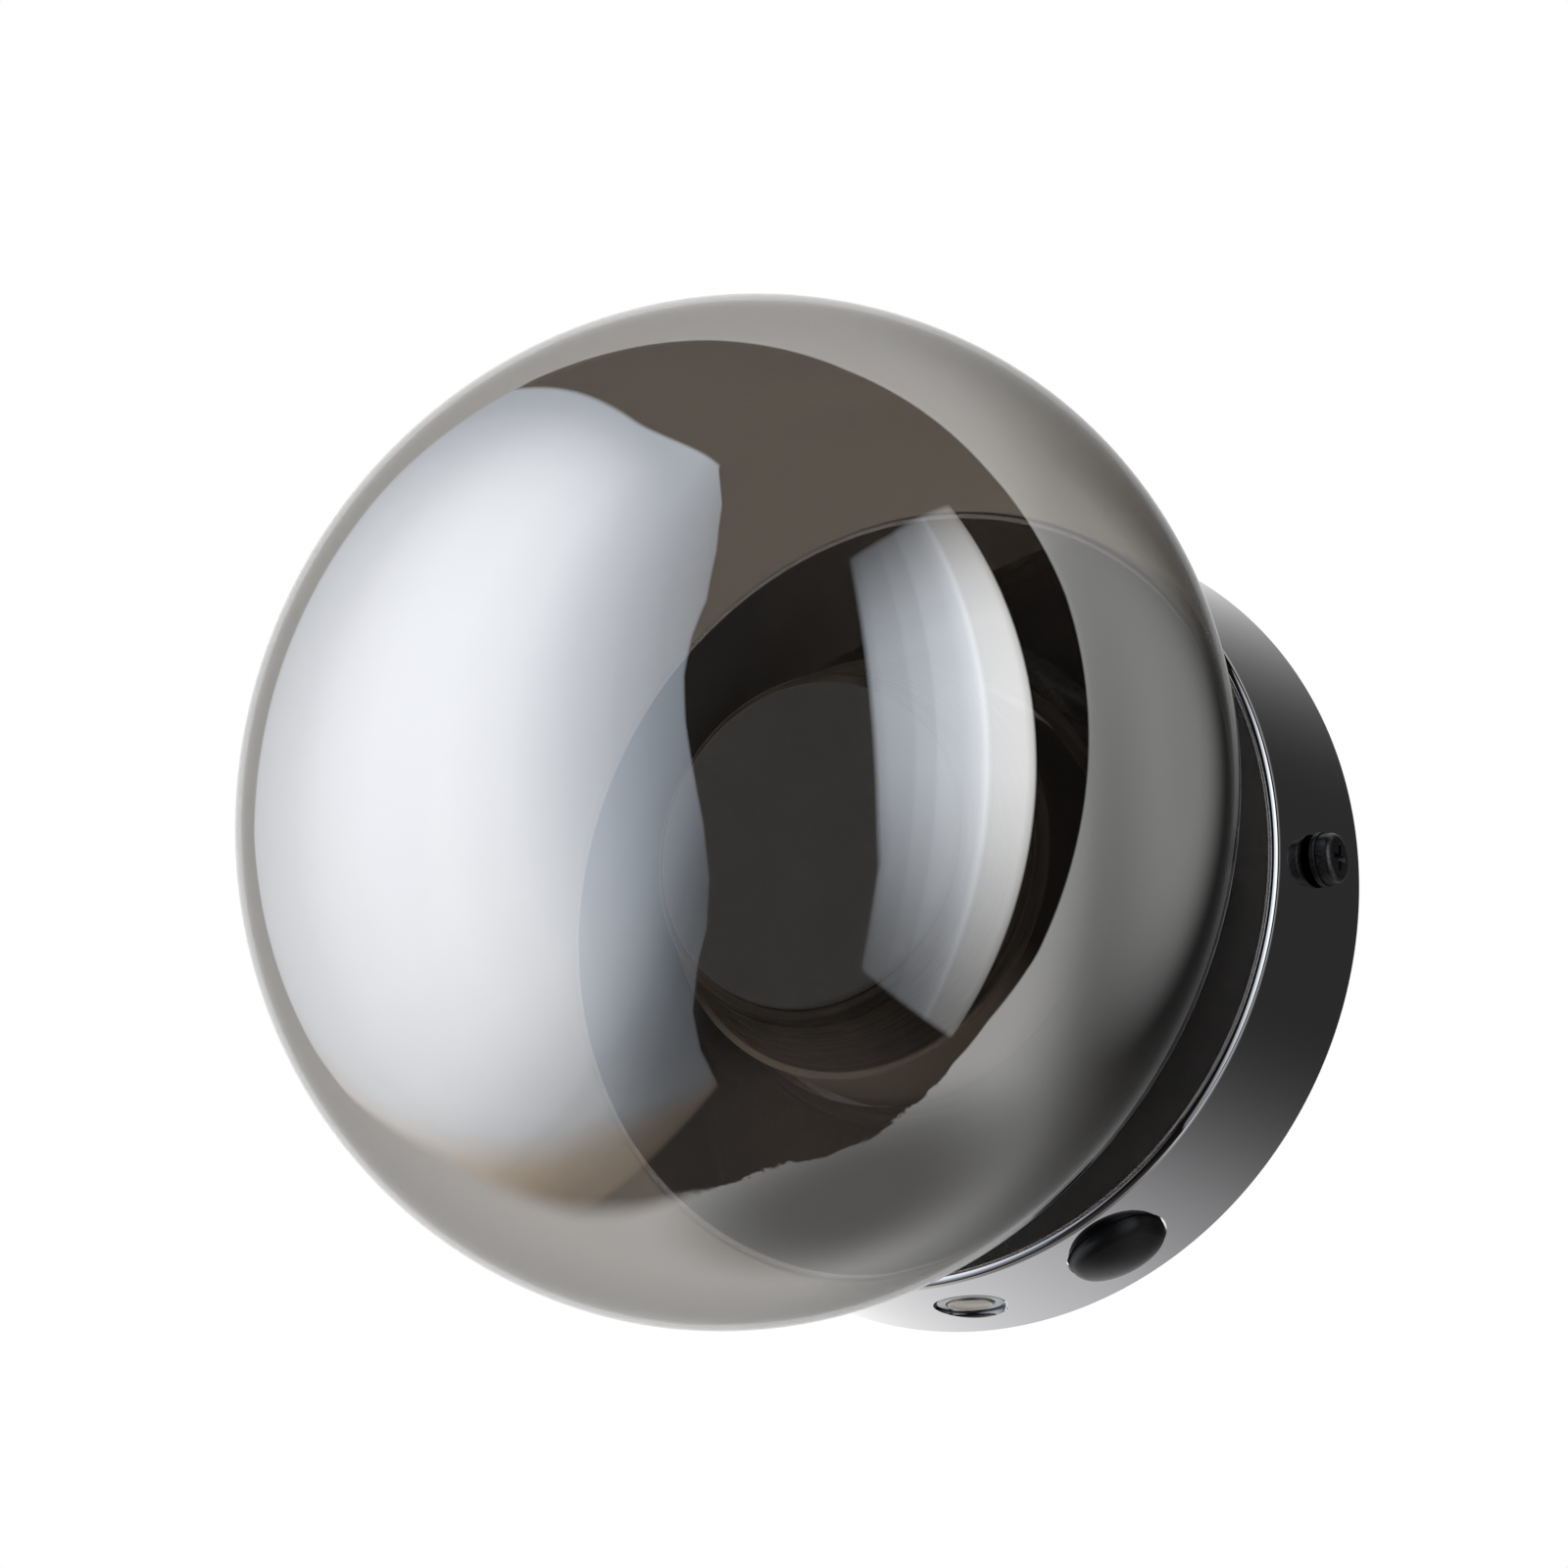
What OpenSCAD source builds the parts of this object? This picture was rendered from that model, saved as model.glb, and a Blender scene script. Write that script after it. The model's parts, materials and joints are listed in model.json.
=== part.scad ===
// Globe wall sconce: a smoke-mirrored glass globe on a round metal canopy,
// with a push switch and a small button on the canopy's side.
// The origin is the centre of the canopy's back rim. The wall is the plane y = 0 and the room is at -Y.
// Every sketch is drawn with z as the distance from the wall, and on_wall() turns it into place.

/* [Canopy] */
// Outer radius of the canopy at its front face
canopy_front_r = 60; // [58:0.5:66]
// Outer radius of the canopy at the wall
canopy_back_r = 62; // [60:0.5:68]
// Depth of the canopy from the wall to its front face
canopy_depth = 24; // [24:0.5:30]
// Thickness of the spun sheet
canopy_wall = 1.2; // [0.8:0.1:1.6]
// Radius of the front edge
canopy_edge_r = 1.5; // [0.8:0.1:3]

/* [Globe] */
// Largest radius of the glass
globe_r = 75; // [70:0.5:90]
// Distance from the widest circle to the front of the glass
globe_front = 64.5; // [62:0.5:70]
// Radius of the bend in front of the widest circle
front_bend_r = 58.6; // [50:0.2:60]
// Distance from the widest circle to the back of the glass, if it were closed there
globe_rear = 58.5; // [54:0.5:66]
// Radius of the bend behind the widest circle
rear_bend_r = 45.4; // [38:0.2:50]
// Thickness of the glass
glass_wall = 2.2; // [1.6:0.1:3]
// Outer radius of the glass neck
neck_r = 35.5; // [35:0.1:37]

/* [Twist lock] */
// Thickness of the collar's flange and of its skirt
collar_wall = 1.4; // [1:0.1:2]
// Width of the collar's flange
flange_w = 3.4; // [2:0.1:4]
// Thickness of the rubber gasket under the flange
gasket_t = 0.8; // [0.5:0.1:1.2]
// Thickness of the bayonet lugs
lug_t = 1.8; // [1.2:0.1:2.2]
// How far the lugs stand out of the skirt
lug_reach = 2.6; // [1.6:0.1:3]
// Number of bayonet lugs
lug_count = 3; // [2:1:3]
// Angle that one lug covers
lug_angle = 22; // [14:1:26]
// Angle from locked to free
twist_angle = 35; // [32:1:45]

/* [Lamp module] */
// Free play between the heat sink drum and the glass neck
drum_play = 1.3; // [0.8:0.1:3]
// Height of the drum's straight part above the canopy's face
drum_rise = 18; // [14:0.5:22]
// Height of the turned cone above the straight part
cone_rise = 13.5; // [10:0.5:16]
// Radius of the diffuser disc
diffuser_r = 24.5; // [23:0.1:24.8]
// Width of the drum's rim round the diffuser
rim_w = 1.3; // [0.8:0.1:2.5]
// Thickness of the diffuser disc
diffuser_t = 2; // [1.5:0.1:3]
// Number of fins inside the drum
fin_count = 16; // [8:1:20]
// Number of turned grooves on the cone
groove_count = 6; // [0:1:8]

/* [Support plate] */
// Thickness of the support plate
plate_t = 1.2; // [1:0.1:1.6]
// Radius of the support plate's disc
plate_r = 38; // [36:0.5:39]
// Distance of the spacers' centres from the canopy's side wall
spacer_inset = 10.9; // [9:0.1:12]
// Width of a hexagon spacer across its flats
spacer_af = 5.5; // [5:0.1:6]

/* [Wall bracket] */
// Thickness of the bracket's steel
bracket_t = 2; // [1.5:0.1:2.2]
// Width of the bracket's strap
bracket_w = 20; // [18:0.5:24]
// Width of the bracket's ears
ear_w = 16; // [12:0.5:18]
// Distance between the centres of the two wall slots
slot_spacing = 60; // [58:0.5:62]
// Length of a wall slot from end to end
slot_len = 18; // [12:0.5:19]
// Width of a wall slot
slot_w = 4.6; // [4:0.1:5.2]
// Radius of the cable hole in the middle of the strap
cable_hole_r = 8; // [6:0.1:8.2]
// Radius of the cable passage through the grommet
cable_r = 5.5; // [4:0.1:6]

/* [Side screws] */
// Radius of the screw's thread
side_screw_r = 2; // [1.5:0.05:2.5]
// Radius of the screw's head
side_head_r = 3.8; // [3.2:0.05:4.2]
// Height of the screw's head
side_head_h = 2.3; // [1.8:0.05:2.8]
// Radius of the washer
side_washer_r = 4.1; // [3.6:0.05:5]
// Thickness of the washer
side_washer_t = 0.8; // [0.5:0.05:1.2]

/* [Push switch] */
// Angle of the switch around the canopy, from +X
switch_angle = -63.5; // [-66:0.5:-60]
// Radius of the rubber cap
cap_r = 7.6; // [7:0.05:8]
// How far the cap's straight side stands out of the canopy
cap_proud = 1; // [0.5:0.05:1.5]
// Height of the cap's dome
cap_dome = 2.2; // [1.5:0.05:3]
// Travel of the cap
switch_travel = 2; // [1:0.05:2.2]
// Radius of the threaded bush
bush_r = 5; // [4.5:0.05:5.4]
// How far the switch body stands out round its bush
body_shoulder = 0.8; // [0.5:0.05:0.9]

/* [Dim button] */
// Angle of the button around the canopy, from +X
button_angle = -87.5; // [-90:0.5:-86]
// Radius of the metal cap
button_cap_r = 3.5; // [3:0.05:4]
// Wall of the button's threaded bush
bush_wall = 0.8; // [0.6:0.05:1]
// How far the bezel ring stands out round the bush
bezel_w = 0.8; // [0.6:0.05:1]
// Free play between the bezel ring and the canopy
bezel_play = 0.4; // [0.2:0.05:0.6]
// Travel of the cap
button_travel = 0.8; // [0.4:0.05:1]

/* [Driver] */
// Length of the driver
driver_len = 58; // [50:0.5:60]
// Width of the driver
driver_w = 29; // [24:0.5:30]
// Thickness of the driver with its lid
driver_h = 13.4; // [12:0.1:14]
// Wall of the driver's case
driver_wall = 1.6; // [1.2:0.1:2]
// Thickness of the foam pad that holds the driver
pad_t = 1; // [0.6:0.1:1.4]

/* [Terminal block] */
// Number of poles
pole_count = 3; // [2:1:3]
// Distance between two poles
pole_pitch = 6.5; // [6:0.1:7]
// Length of the block along its wires
block_len = 13; // [11:0.5:14]
// Height of the block
block_h = 11.5; // [10:0.1:12]

/* [Leads] */
// Outer radius of a single lead
lead_r = 1.1; // [0.8:0.05:1.3]
// Outer radius of the sheathed lead to the lamp
sheath_r = 1.6; // [1.2:0.05:1.8]

/* [Hidden] */
$fn = 96;

// Overrun of a cutting shape past the surface that it cuts
cut = 0.5;
// Radial clearance of a screw in its hole
screw_fit = 0.05;
// Free play round a part that passes through a hole
pass_fit = 0.3;
// Sliding clearance of a plunger
slide_fit = 0.1;
// Play between flat parts that move past each other
face_gap = 0.4;

// Canopy levels and radii, worked out from the driving sizes
sheet_z = canopy_depth - canopy_wall;
side_z = canopy_depth / 2;
canopy_lean = atan((canopy_back_r - canopy_front_r) / canopy_depth);
function canopy_r_at(z) = canopy_back_r - (canopy_back_r - canopy_front_r) * z / canopy_depth;
side_out_r = canopy_r_at(side_z);
side_in_r = side_out_r - canopy_wall;

// Globe: each half of its profile is a crown arc centred on the axis and a bend arc tangent to it.
// A bend is a fillet, so it stays inside its half.
bend_limit_share = 0.95;
front_fillet_r = min(front_bend_r, bend_limit_share * min(globe_front, globe_r));
rear_fillet_r = min(rear_bend_r, bend_limit_share * min(globe_rear, globe_r));
function crown_r(a, c, bend) = (pow(a - bend, 2) + c * c - bend * bend) / (2 * (c - bend));
rear_crown_r = crown_r(globe_r, globe_rear, rear_fillet_r);
rear_crown_c = rear_crown_r - globe_rear;
neck_in_r = neck_r - glass_wall;
neck_gap = 0.1;
neck_rise = gasket_t + collar_wall + neck_gap;
neck_depth = sqrt(pow(rear_crown_r, 2) - pow(neck_r, 2)) - rear_crown_c;
equator_z = canopy_depth + neck_rise + neck_depth;

// Twist lock levels, from the canopy's sheet towards the wall
gasket_gap = 0.05;
lug_top = sheet_z - face_gap;
lug_bottom = lug_top - lug_t;
bond_t = 0.1;
skirt_in_r = neck_r + bond_t;
skirt_r = skirt_in_r + collar_wall;
opening_r = skirt_r + face_gap;
flange_r = skirt_r + flange_w;
flange_z = canopy_depth + gasket_t;
lug_r = skirt_r + lug_reach;
notch_margin = 3;
first_lug = 30;
pin_r = 1;
pin_margin = 0.5;
neck_lip = 0.6;

// Support plate
plate_gap = 1.4;
plate_top = lug_bottom - plate_gap;
plate_back = plate_top - plate_t;
spacer_ring_r = canopy_r_at(sheet_z) - canopy_wall - spacer_inset;
arm_w = 9;
wire_hole_r = 4;
plate_angles = [90, 210, 330];
drum_screw_ring_r = 20;
drum_screw_angles = [30, 150, 270];

// Small screws of the inside
small_r = 1.5;
small_head_r = 2.7;
small_head_h = 2;
recess_share = 0.55;
recess_w_share = 0.24;
recess_depth_share = 0.5;
head_edge_share = 0.45;

// Bent tabs of the support plate, which carry the switch and the button
tab_setback = 13.8;
tab_r = side_in_r - tab_setback;
tab_w = 15;
tab_low = 4.5;
arm_root = 4;
arm_in_r = plate_r - arm_root;

// Lamp module
drum_r = neck_in_r - drum_play;
drum_low = plate_top;
drum_top = canopy_depth + drum_rise;
cone_step = 1;
cone_top = drum_top + cone_rise;
cone_top_r = diffuser_r + rim_w;
disc_overlap = 1;
recess_r = diffuser_r - disc_overlap;
board_play = 0.7;
board_r = recess_r - board_play;
board_t = 1.6;
board_rise = 4;
board_z = drum_top + board_rise;
drum_wall = 3.2;
drum_floor = 5;
pocket_r = drum_r - drum_wall;
pocket_top = drum_top - drum_floor;
hub_r = 8;
boss_r = 4.2;
drum_screw_depth = 8;
fin_t = 1.6;
groove_r = 0.35;
lead_hole_r = 2.4;
disc_seat = 0.2;
skirt_t = 1.4;
skirt_len = 5;
disc_edge = 0.6;
disc_low = cone_top - disc_seat;
chip_size = [2.8, 3.5, 0.8];
outer_chip_count = 10;
outer_chip_r = 18;
inner_chip_count = 4;
inner_chip_r = 7;
board_screw_r = 13;
board_screw_angles = [45, 225];
board_screw_depth = 3;
connector_size = [6, 5, 3.4];
connector_x = -12.2;

// Wall bracket
bend_r = 2;
ear_gap = 0.28;
ear_rise = 5;
ear_top = side_z + ear_rise;
ear_in_r = min(canopy_r_at(0), canopy_r_at(ear_top)) - canopy_wall / cos(canopy_lean);
ear_x = sqrt(pow(ear_in_r, 2) - pow(ear_w / 2, 2)) - ear_gap;
earth_r = 2;
earth_head_r = 3.2;
earth_head_h = 2;
earth_clear = 0.3;
washer_t = 0.6;
earth_washer_r = 3.6;
lug_ring_r = 4;
lug_plate_t = 0.7;
lug_neck_w = 2.1;
barrel_wall = 0.7;
barrel_len = 4.2;
grommet_flange = 1.6;
grommet_flange_t = 1.8;
earth_margin = 1.6;
earth_x = -(cable_hole_r + grommet_flange + earth_margin + lug_ring_r);
earth_stack = bracket_t + washer_t + lug_plate_t;

// Side screws
seat_play = 0.06;
side_seat_r = side_out_r + side_washer_r * abs(tan(canopy_lean)) + seat_play;
side_screw_tail = 4;
side_screw_end_r = ear_x - bracket_t - side_screw_tail;

// Push switch, in distances from the canopy's axis
cap_len = 8;
cap_low_r = side_out_r - cap_len;
cap_top_r = side_out_r + cap_proud;
bush_drop = 1;
bush_end_r = cap_low_r - bush_drop;
foot_gap = 0.05;
nut_h = 2;
nut_wall = 1;
nut_af = 2 * (bush_r + nut_wall);
shoulder_h = 2;
switch_body_r = bush_r + body_shoulder;
switch_body_len = 19;
body_low_r = tab_r - switch_body_len;
body_floor = 2;
cavity_low_r = body_low_r + body_floor;
switch_body_wall = 1.3;
cavity_r = switch_body_r - switch_body_wall;
foot_h = 1;
foot_r = cavity_r - slide_fit;
plunger_r = 3.2;
cap_play = 0.6;
cap_cavity_r = bush_r + cap_play;
cap_cavity_h = switch_travel + cap_play;
cap_grip = 4.5;
plunger_low_r = tab_r - shoulder_h - foot_h - foot_gap;
spring_wall = 1.2;
tag_len = 5;
tag_w = 2.4;
tag_t = 0.6;
tag_offset = 2.5;

// Button, in distances from the canopy's axis
bezel_recess = 0.5;
bezel_top_r = side_out_r - bezel_recess;
bezel_h = 1.6;
button_cap_h = 1.6;
button_cap_proud = 0.3;
button_cap_top_r = bezel_top_r + button_cap_proud;
stem_r = 1.4;
button_bore_r = button_cap_r + slide_fit;
button_bush_r = button_bore_r + bush_wall;
bezel_r = button_bush_r + bezel_w;
button_hole_r = bezel_r + bezel_play;
button_spring_len = 7;
button_floor_r = button_cap_top_r - button_cap_h - button_spring_len;
button_nut_wall = 0.85;
button_nut_af = 2 * (button_bush_r + button_nut_wall);
button_shoulder = 0.6;
button_shoulder_r = button_bush_r + button_shoulder;
button_case_wall = 1.6;
contact_room = 7.15;
button_cavity_low_r = plunger_low_r - button_travel - contact_room;
button_low_r = button_cavity_low_r - body_floor;
button_cavity_r = button_shoulder_r - button_case_wall;
button_foot_r = 2.4;
button_spring_fit = 0.3;
contact_len = 6;
contact_r = 0.5;
contact_offset = 1.8;
bezel_edge = 0.4;
plug_gap = 0.5;
plug_len = 7;
plug_w = 6.4;
plug_h = 3.6;

// Driver
driver_gap = 1.5;
driver_y = spacer_ring_r - small_head_r - driver_gap - driver_w;
driver_top = plate_back - pad_t;
driver_low = driver_top - driver_h;
lid_t = 1.6;
driver_corner = 3;
pad_len = 36;
pad_w = 16;
pad_inset = 2;
circuit_t = 1.2;
circuit_z = driver_low + 2 * lid_t;
part_top = driver_top - driver_wall - face_gap;
coil_w = 14;
coil_d = 12;
coil_x = -7;
capacitor_r = 4;
capacitor_x = 13;
filter_r = 2.6;
filter_x = [-21, -14, 21];
port_rise = 5.4;
port_z = driver_low + port_rise;
port_wall = 0.8;
port_len = 1.6;
right_port_offsets = [5.7, 12.5, 16.5];
left_port_offset = 15.2;

// Terminal block
block_w = pole_count * pole_pitch;
block_x = -18;
block_y = -22.5;
block_low = plate_back - block_h;
block_foot = 4;
pole_play = 0.25;
pole_bore_r = lead_r + pole_play;
pole_drop = 5;
pole_bore_z = plate_back - pole_drop;
pole_w = 5.2;
clamp_r = 1.7;
clamp_depth = 1.2;
clamp_len = 3;
block_screw_r = 1.2;
block_head_r = 2.1;
block_screw_x = block_x + pole_pitch / 2;

// Leads: points chosen by hand, as [x, height, distance from the wall]
line_route = [[-11.5, -17.5, 13], [-11.5, -15, 13], [-10.5, -12.5, 12.6], [-6, -10.8, 12], [-1, -11.2, 11.8],
    [3, -13.6, 12], [5.6, -16.8, 12], [6.65, -18.95, 12], [7.55, -20.75, 12]];
switched_route = [[12.05, -18.55, 12], [11.1, -16.7, 12], [10.3, -14.4, 12], [10.2, -9.6, 12.2],
    [14, -4, 12.4], [22, 2, 12.4], [32, 9, 11.4], [38, 16, 10], [38.4, 23, 9.2], [35.4, 27, 9],
    [33, 27.3, 9], [31, 27.3, 9], [29, 27.3, 9]];
neutral_route = [[-18, -17.5, 13], [-18, -14, 13], [-16.5, -10.5, 12], [-11, -7.5, 10.4], [-3, -5.5, 9],
    [8, -4.5, 8.6], [20, -3, 8.4], [32, 3, 7.8], [41, 13, 7.4], [42.4, 23, 7.8], [39.6, 29.6, 8.6],
    [35.4, 31.3, 9], [31, 31.3, 9], [29, 31.3, 9]];
earth_route = [[-24.5, -17.5, 13], [-24.5, -14.5, 13], [-25.6, -10, 11.8], [-28, -4.5, 8.6],
    [-29, -1.2, 5.8], [-27.6, 0, 4.4], [-25.5, 0, 4.2], [-23.5, 0, 4.2]];
lamp_route = [[-29, 30, 9], [-31, 30, 9], [-33, 29.7, 9], [-36, 26, 9], [-35.5, 17, 9.4], [-28, 10, 10],
    [-17, 5, 10.6], [-7, 1.2, 11.6], [-1.5, 0, 15], [0, 0, 21], [0, 0, 30], [0, 0, 40], [0, 0, 46.8],
    [-1, 0, 49.6], [-3.4, 0, 50.9], [-5.8, 0, 50], [-7.5, 0, 49.3], [-9.1, 0, 49.3]];
button_route = [[1.1, -25.4, 12], [1.05, -24.4, 12], [1, -23.2, 12], [2, -18.6, 9.4], [4.6, -13.6, 6.8],
    [9, -9.6, 5], [20, 9, 4.6], [28, 12.6, 4.8], [34.4, 16.4, 6.2], [34.8, 20, 8.4], [33, 20.5, 9],
    [31, 20.5, 9], [29, 20.5, 9]];

// Turns a sketch whose z is the distance from the wall to its place on the wall
module on_wall() {
    rotate([90, 0, 0]) children();
}

// Puts a sketch on the radial axis at an angle, with z as the distance from the canopy's axis
module radial(angle) {
    rotate([0, 0, angle]) translate([0, 0, side_z]) rotate([0, 90, 0]) children();
}

module ring(outer, inner, low, top) {
    translate([0, 0, low]) difference() {
        cylinder(r = outer, h = top - low);
        translate([0, 0, -cut]) cylinder(r = inner, h = top - low + 2 * cut);
    }
}

module rod(r, low, top) {
    translate([0, 0, low]) cylinder(r = r, h = top - low);
}

module hex_prism(af, low, top) {
    translate([0, 0, low]) cylinder(d = af / cos(30), h = top - low, $fn = 6);
}

// Six-sided nut with a round bore
module nut(af, bore_r, low, top) {
    difference() {
        hex_prism(af, low, top);
        rod(bore_r, low - cut, top + cut);
    }
}

// Cross recess that is cut into a screw head whose top is at z = 0
module cross_recess(head_r, depth) {
    for (turn = [0, 90]) {
        rotate([0, 0, turn])
            translate([-head_r * recess_share, -head_r * recess_w_share / 2, -depth])
                cube([2 * head_r * recess_share, head_r * recess_w_share, depth + cut]);
    }
}

// Pan head with a rounded edge; z = 0 is its seat
module pan_head(r, h) {
    edge = h * head_edge_share;
    difference() {
        rotate_extrude() union() {
            square([r - edge, h]);
            square([r, h - edge]);
            translate([r - edge, h - edge]) circle(edge, $fn = 32);
        }
        translate([0, 0, h]) cross_recess(r, h * recess_depth_share);
    }
}

// Screw whose head's seat is at z = 0 and whose shank runs to z = -len
module pan_screw(r, len, head_r, head_h) {
    pan_head(head_r, head_h);
    rod(r, -len, 0);
}

// Catmull-Rom curve through a route's points
function spline(a, b, c, d, t) = 0.5 * ((2 * b) + (c - a) * t + (2 * a - 5 * b + 4 * c - d) * t * t
    + (3 * b - a - 3 * c + d) * t * t * t);
function route_curve(p, steps) = let(n = len(p)) [
    for (i = [0 : n - 2], k = [0 : (i == n - 2 ? steps : steps - 1)])
        spline(i == 0 ? 2 * p[0] - p[1] : p[i - 1], p[i], p[i + 1],
            i == n - 2 ? 2 * p[n - 1] - p[n - 2] : p[i + 2], k / steps)];
function unit(v) = v / norm(v);
function tangents(p) = let(n = len(p)) [
    for (i = [0 : n - 1]) unit(p[min(i + 1, n - 1)] - p[max(i - 1, 0)])];
function carried(n, t) = unit(n - t * (n * t));
function side_of(t) = unit(cross(t, abs(t[2]) < 0.9 ? [0, 0, 1] : [0, 1, 0]));
function normals(t) = [for (i = 0, n = side_of(t[0]); i < len(t);
    i = i + 1, n = i < len(t) ? carried(n, t[i]) : n) n];

// Tube along a route, as one closed mesh with flat ends
module lead(route, r, sides = 8, steps = 2) {
    p = route_curve(route, steps);
    t = tangents(p);
    n = normals(t);
    points = [for (i = [0 : len(p) - 1], k = [0 : sides - 1])
        let(a = 360 * k / sides) p[i] + r * (cos(a) * n[i] + sin(a) * cross(t[i], n[i]))];
    last = (len(p) - 1) * sides;
    walls = [for (i = [0 : len(p) - 2], k = [0 : sides - 1], half = [0, 1])
        let(a = i * sides + k, b = i * sides + (k + 1) % sides)
        half == 0 ? [a, a + sides, b] : [b, a + sides, b + sides]];
    first_cap = [for (k = [1 : sides - 2]) [0, k, k + 1]];
    last_cap = [for (k = [1 : sides - 2]) [last, last + k + 1, last + k]];
    polyhedron(points, concat(walls, first_cap, last_cap), convexity = 6);
}

// Half profile of the pan, drawn in by an inset on every side
module pan_outline(inset) {
    edge = max(canopy_edge_r - inset, canopy_wall / 4);
    top = canopy_depth - inset;
    edge_x = canopy_r_at(top - edge) - (inset + edge) / cos(canopy_lean);
    polygon([[0, inset > 0 ? -cut : 0],
        [canopy_r_at(inset > 0 ? -cut : 0) - inset / cos(canopy_lean), inset > 0 ? -cut : 0],
        [edge_x + edge * cos(canopy_lean), top - edge + edge * sin(canopy_lean)],
        [edge_x, top], [0, top]]);
    translate([edge_x, top - edge]) circle(edge);
}

// Part of a ring that covers an angle on each side of +X
module sector(r, half_angle) {
    reach = 1.5 * r;
    intersection() {
        circle(r);
        polygon([[0, 0], reach * [cos(half_angle), -sin(half_angle)], [reach, 0],
            reach * [cos(half_angle), sin(half_angle)]]);
    }
}

// Round hole through the canopy's side, long enough for the side's lean
module side_hole(angle, r) {
    reach = r * abs(tan(canopy_lean)) + 2 * canopy_wall;
    radial(angle) rod(r, side_in_r - reach, side_out_r + reach);
}

module canopy() {
    color("#2b2c2f") on_wall() difference() {
        rotate_extrude() difference() {
            pan_outline(0);
            pan_outline(canopy_wall);
        }
        rod(opening_r, sheet_z - cut, canopy_depth + cut);
        for (i = [0 : lug_count - 1]) {
            rotate([0, 0, first_lug + twist_angle + i * 360 / lug_count])
                translate([0, 0, sheet_z - cut])
                    linear_extrude(canopy_wall + 2 * cut)
                        sector(lug_r + face_gap, lug_angle / 2 + notch_margin);
        }
        for (angle = [0, 180]) {
            side_hole(angle, side_screw_r + pass_fit);
        }
        side_hole(switch_angle, cap_r + pass_fit);
        side_hole(button_angle, button_hole_r);
    }
}

// Strap and ear as one bent strip, drawn for the side at +X
module bent_strip() {
    inner = bend_r;
    outer = bend_r + bracket_t;
    translate([-cut, 0]) square([ear_x - outer + cut, bracket_t]);
    translate([ear_x - bracket_t, outer]) square([bracket_t, ear_top - outer]);
    translate([ear_x - outer, outer]) intersection() {
        difference() {
            circle(outer);
            circle(inner);
        }
        translate([0, -outer]) square([outer, outer]);
    }
}

module slot_shape(length, width) {
    for (side = [-1, 1]) {
        translate([side * (length - width) / 2, 0]) circle(d = width);
    }
    square([length - width, width], center = true);
}

module wall_bracket() {
    color("#b9bcc0") on_wall() difference() {
        for (side = [0, 1]) {
            mirror([side, 0, 0]) intersection() {
                translate([0, bracket_w / 2, 0]) rotate([90, 0, 0]) linear_extrude(bracket_w) bent_strip();
                linear_extrude(ear_top) {
                    translate([-cut, -bracket_w / 2]) square([ear_x - 3 * bracket_t + cut, bracket_w]);
                    translate([-cut, -ear_w / 2]) square([ear_x + 2 * cut, ear_w]);
                }
            }
        }
        rod(cable_hole_r, -cut, bracket_t + cut);
        for (side = [-1, 1]) {
            translate([side * slot_spacing / 2, 0, -cut])
                linear_extrude(bracket_t + 2 * cut) slot_shape(slot_len, slot_w);
        }
        translate([earth_x, 0, 0]) rod(earth_r + screw_fit, -cut, bracket_t + cut);
        for (angle = [0, 180]) {
            radial(angle) rod(side_screw_r + screw_fit, ear_x - 2 * bracket_t, ear_x + bracket_t);
        }
    }
}

module side_screws() {
    color("#161617") on_wall() for (angle = [0, 180]) {
        radial(angle) translate([0, 0, side_seat_r + side_washer_t])
            pan_screw(side_screw_r, side_seat_r + side_washer_t - side_screw_end_r, side_head_r, side_head_h);
    }
}

module side_washers() {
    color("#1c1c1e") on_wall() for (angle = [0, 180]) {
        radial(angle) ring(side_washer_r, side_screw_r + screw_fit, side_seat_r, side_seat_r + side_washer_t);
    }
}

module cable_grommet() {
    color("#202022") on_wall() {
        ring(cable_hole_r - screw_fit, cable_r, 0, bracket_t + grommet_flange_t);
        ring(cable_hole_r + grommet_flange, cable_r, bracket_t, bracket_t + grommet_flange_t);
    }
}

module earth_screw() {
    color("#c9a24a") on_wall() translate([earth_x, 0, earth_stack])
        pan_screw(earth_r, earth_stack - earth_clear, earth_head_r, earth_head_h);
}

module earth_washer() {
    color("#c9a24a") on_wall() translate([earth_x, 0, 0])
        ring(earth_washer_r, earth_r + screw_fit, bracket_t, bracket_t + washer_t);
}

// Flat ring with a crimped barrel that takes the end of the earth lead
module earth_lug() {
    barrel_r = lead_r + barrel_wall;
    color("#c8cacc") on_wall() {
        translate([earth_x, 0, 0]) ring(lug_ring_r, earth_r + screw_fit,
            bracket_t + washer_t, bracket_t + washer_t + lug_plate_t);
        translate([earth_x - lug_ring_r - lug_neck_w / 2, -lug_neck_w / 2, bracket_t + washer_t])
            cube([lug_neck_w, lug_neck_w, lug_plate_t]);
        translate([earth_x - lug_ring_r, 0, bracket_t + face_gap + barrel_r]) rotate([0, -90, 0])
            rod(barrel_r, 0, barrel_len);
    }
}

// Flat root of a bent tab, in the plane of the plate
module tab_root(angle) {
    rotate([0, 0, angle]) translate([arm_in_r, -tab_w / 2, plate_back])
        cube([tab_r + plate_t - arm_in_r, tab_w, plate_t]);
}

// Bent flange of a tab, with a round hole for a threaded bush
module tab_flange(angle, hole_r) {
    difference() {
        rotate([0, 0, angle]) translate([tab_r, -tab_w / 2, tab_low])
            cube([plate_t, tab_w, plate_back - tab_low + plate_t / 2]);
        radial(angle) rod(hole_r, tab_r - cut, tab_r + plate_t + cut);
    }
}

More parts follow.
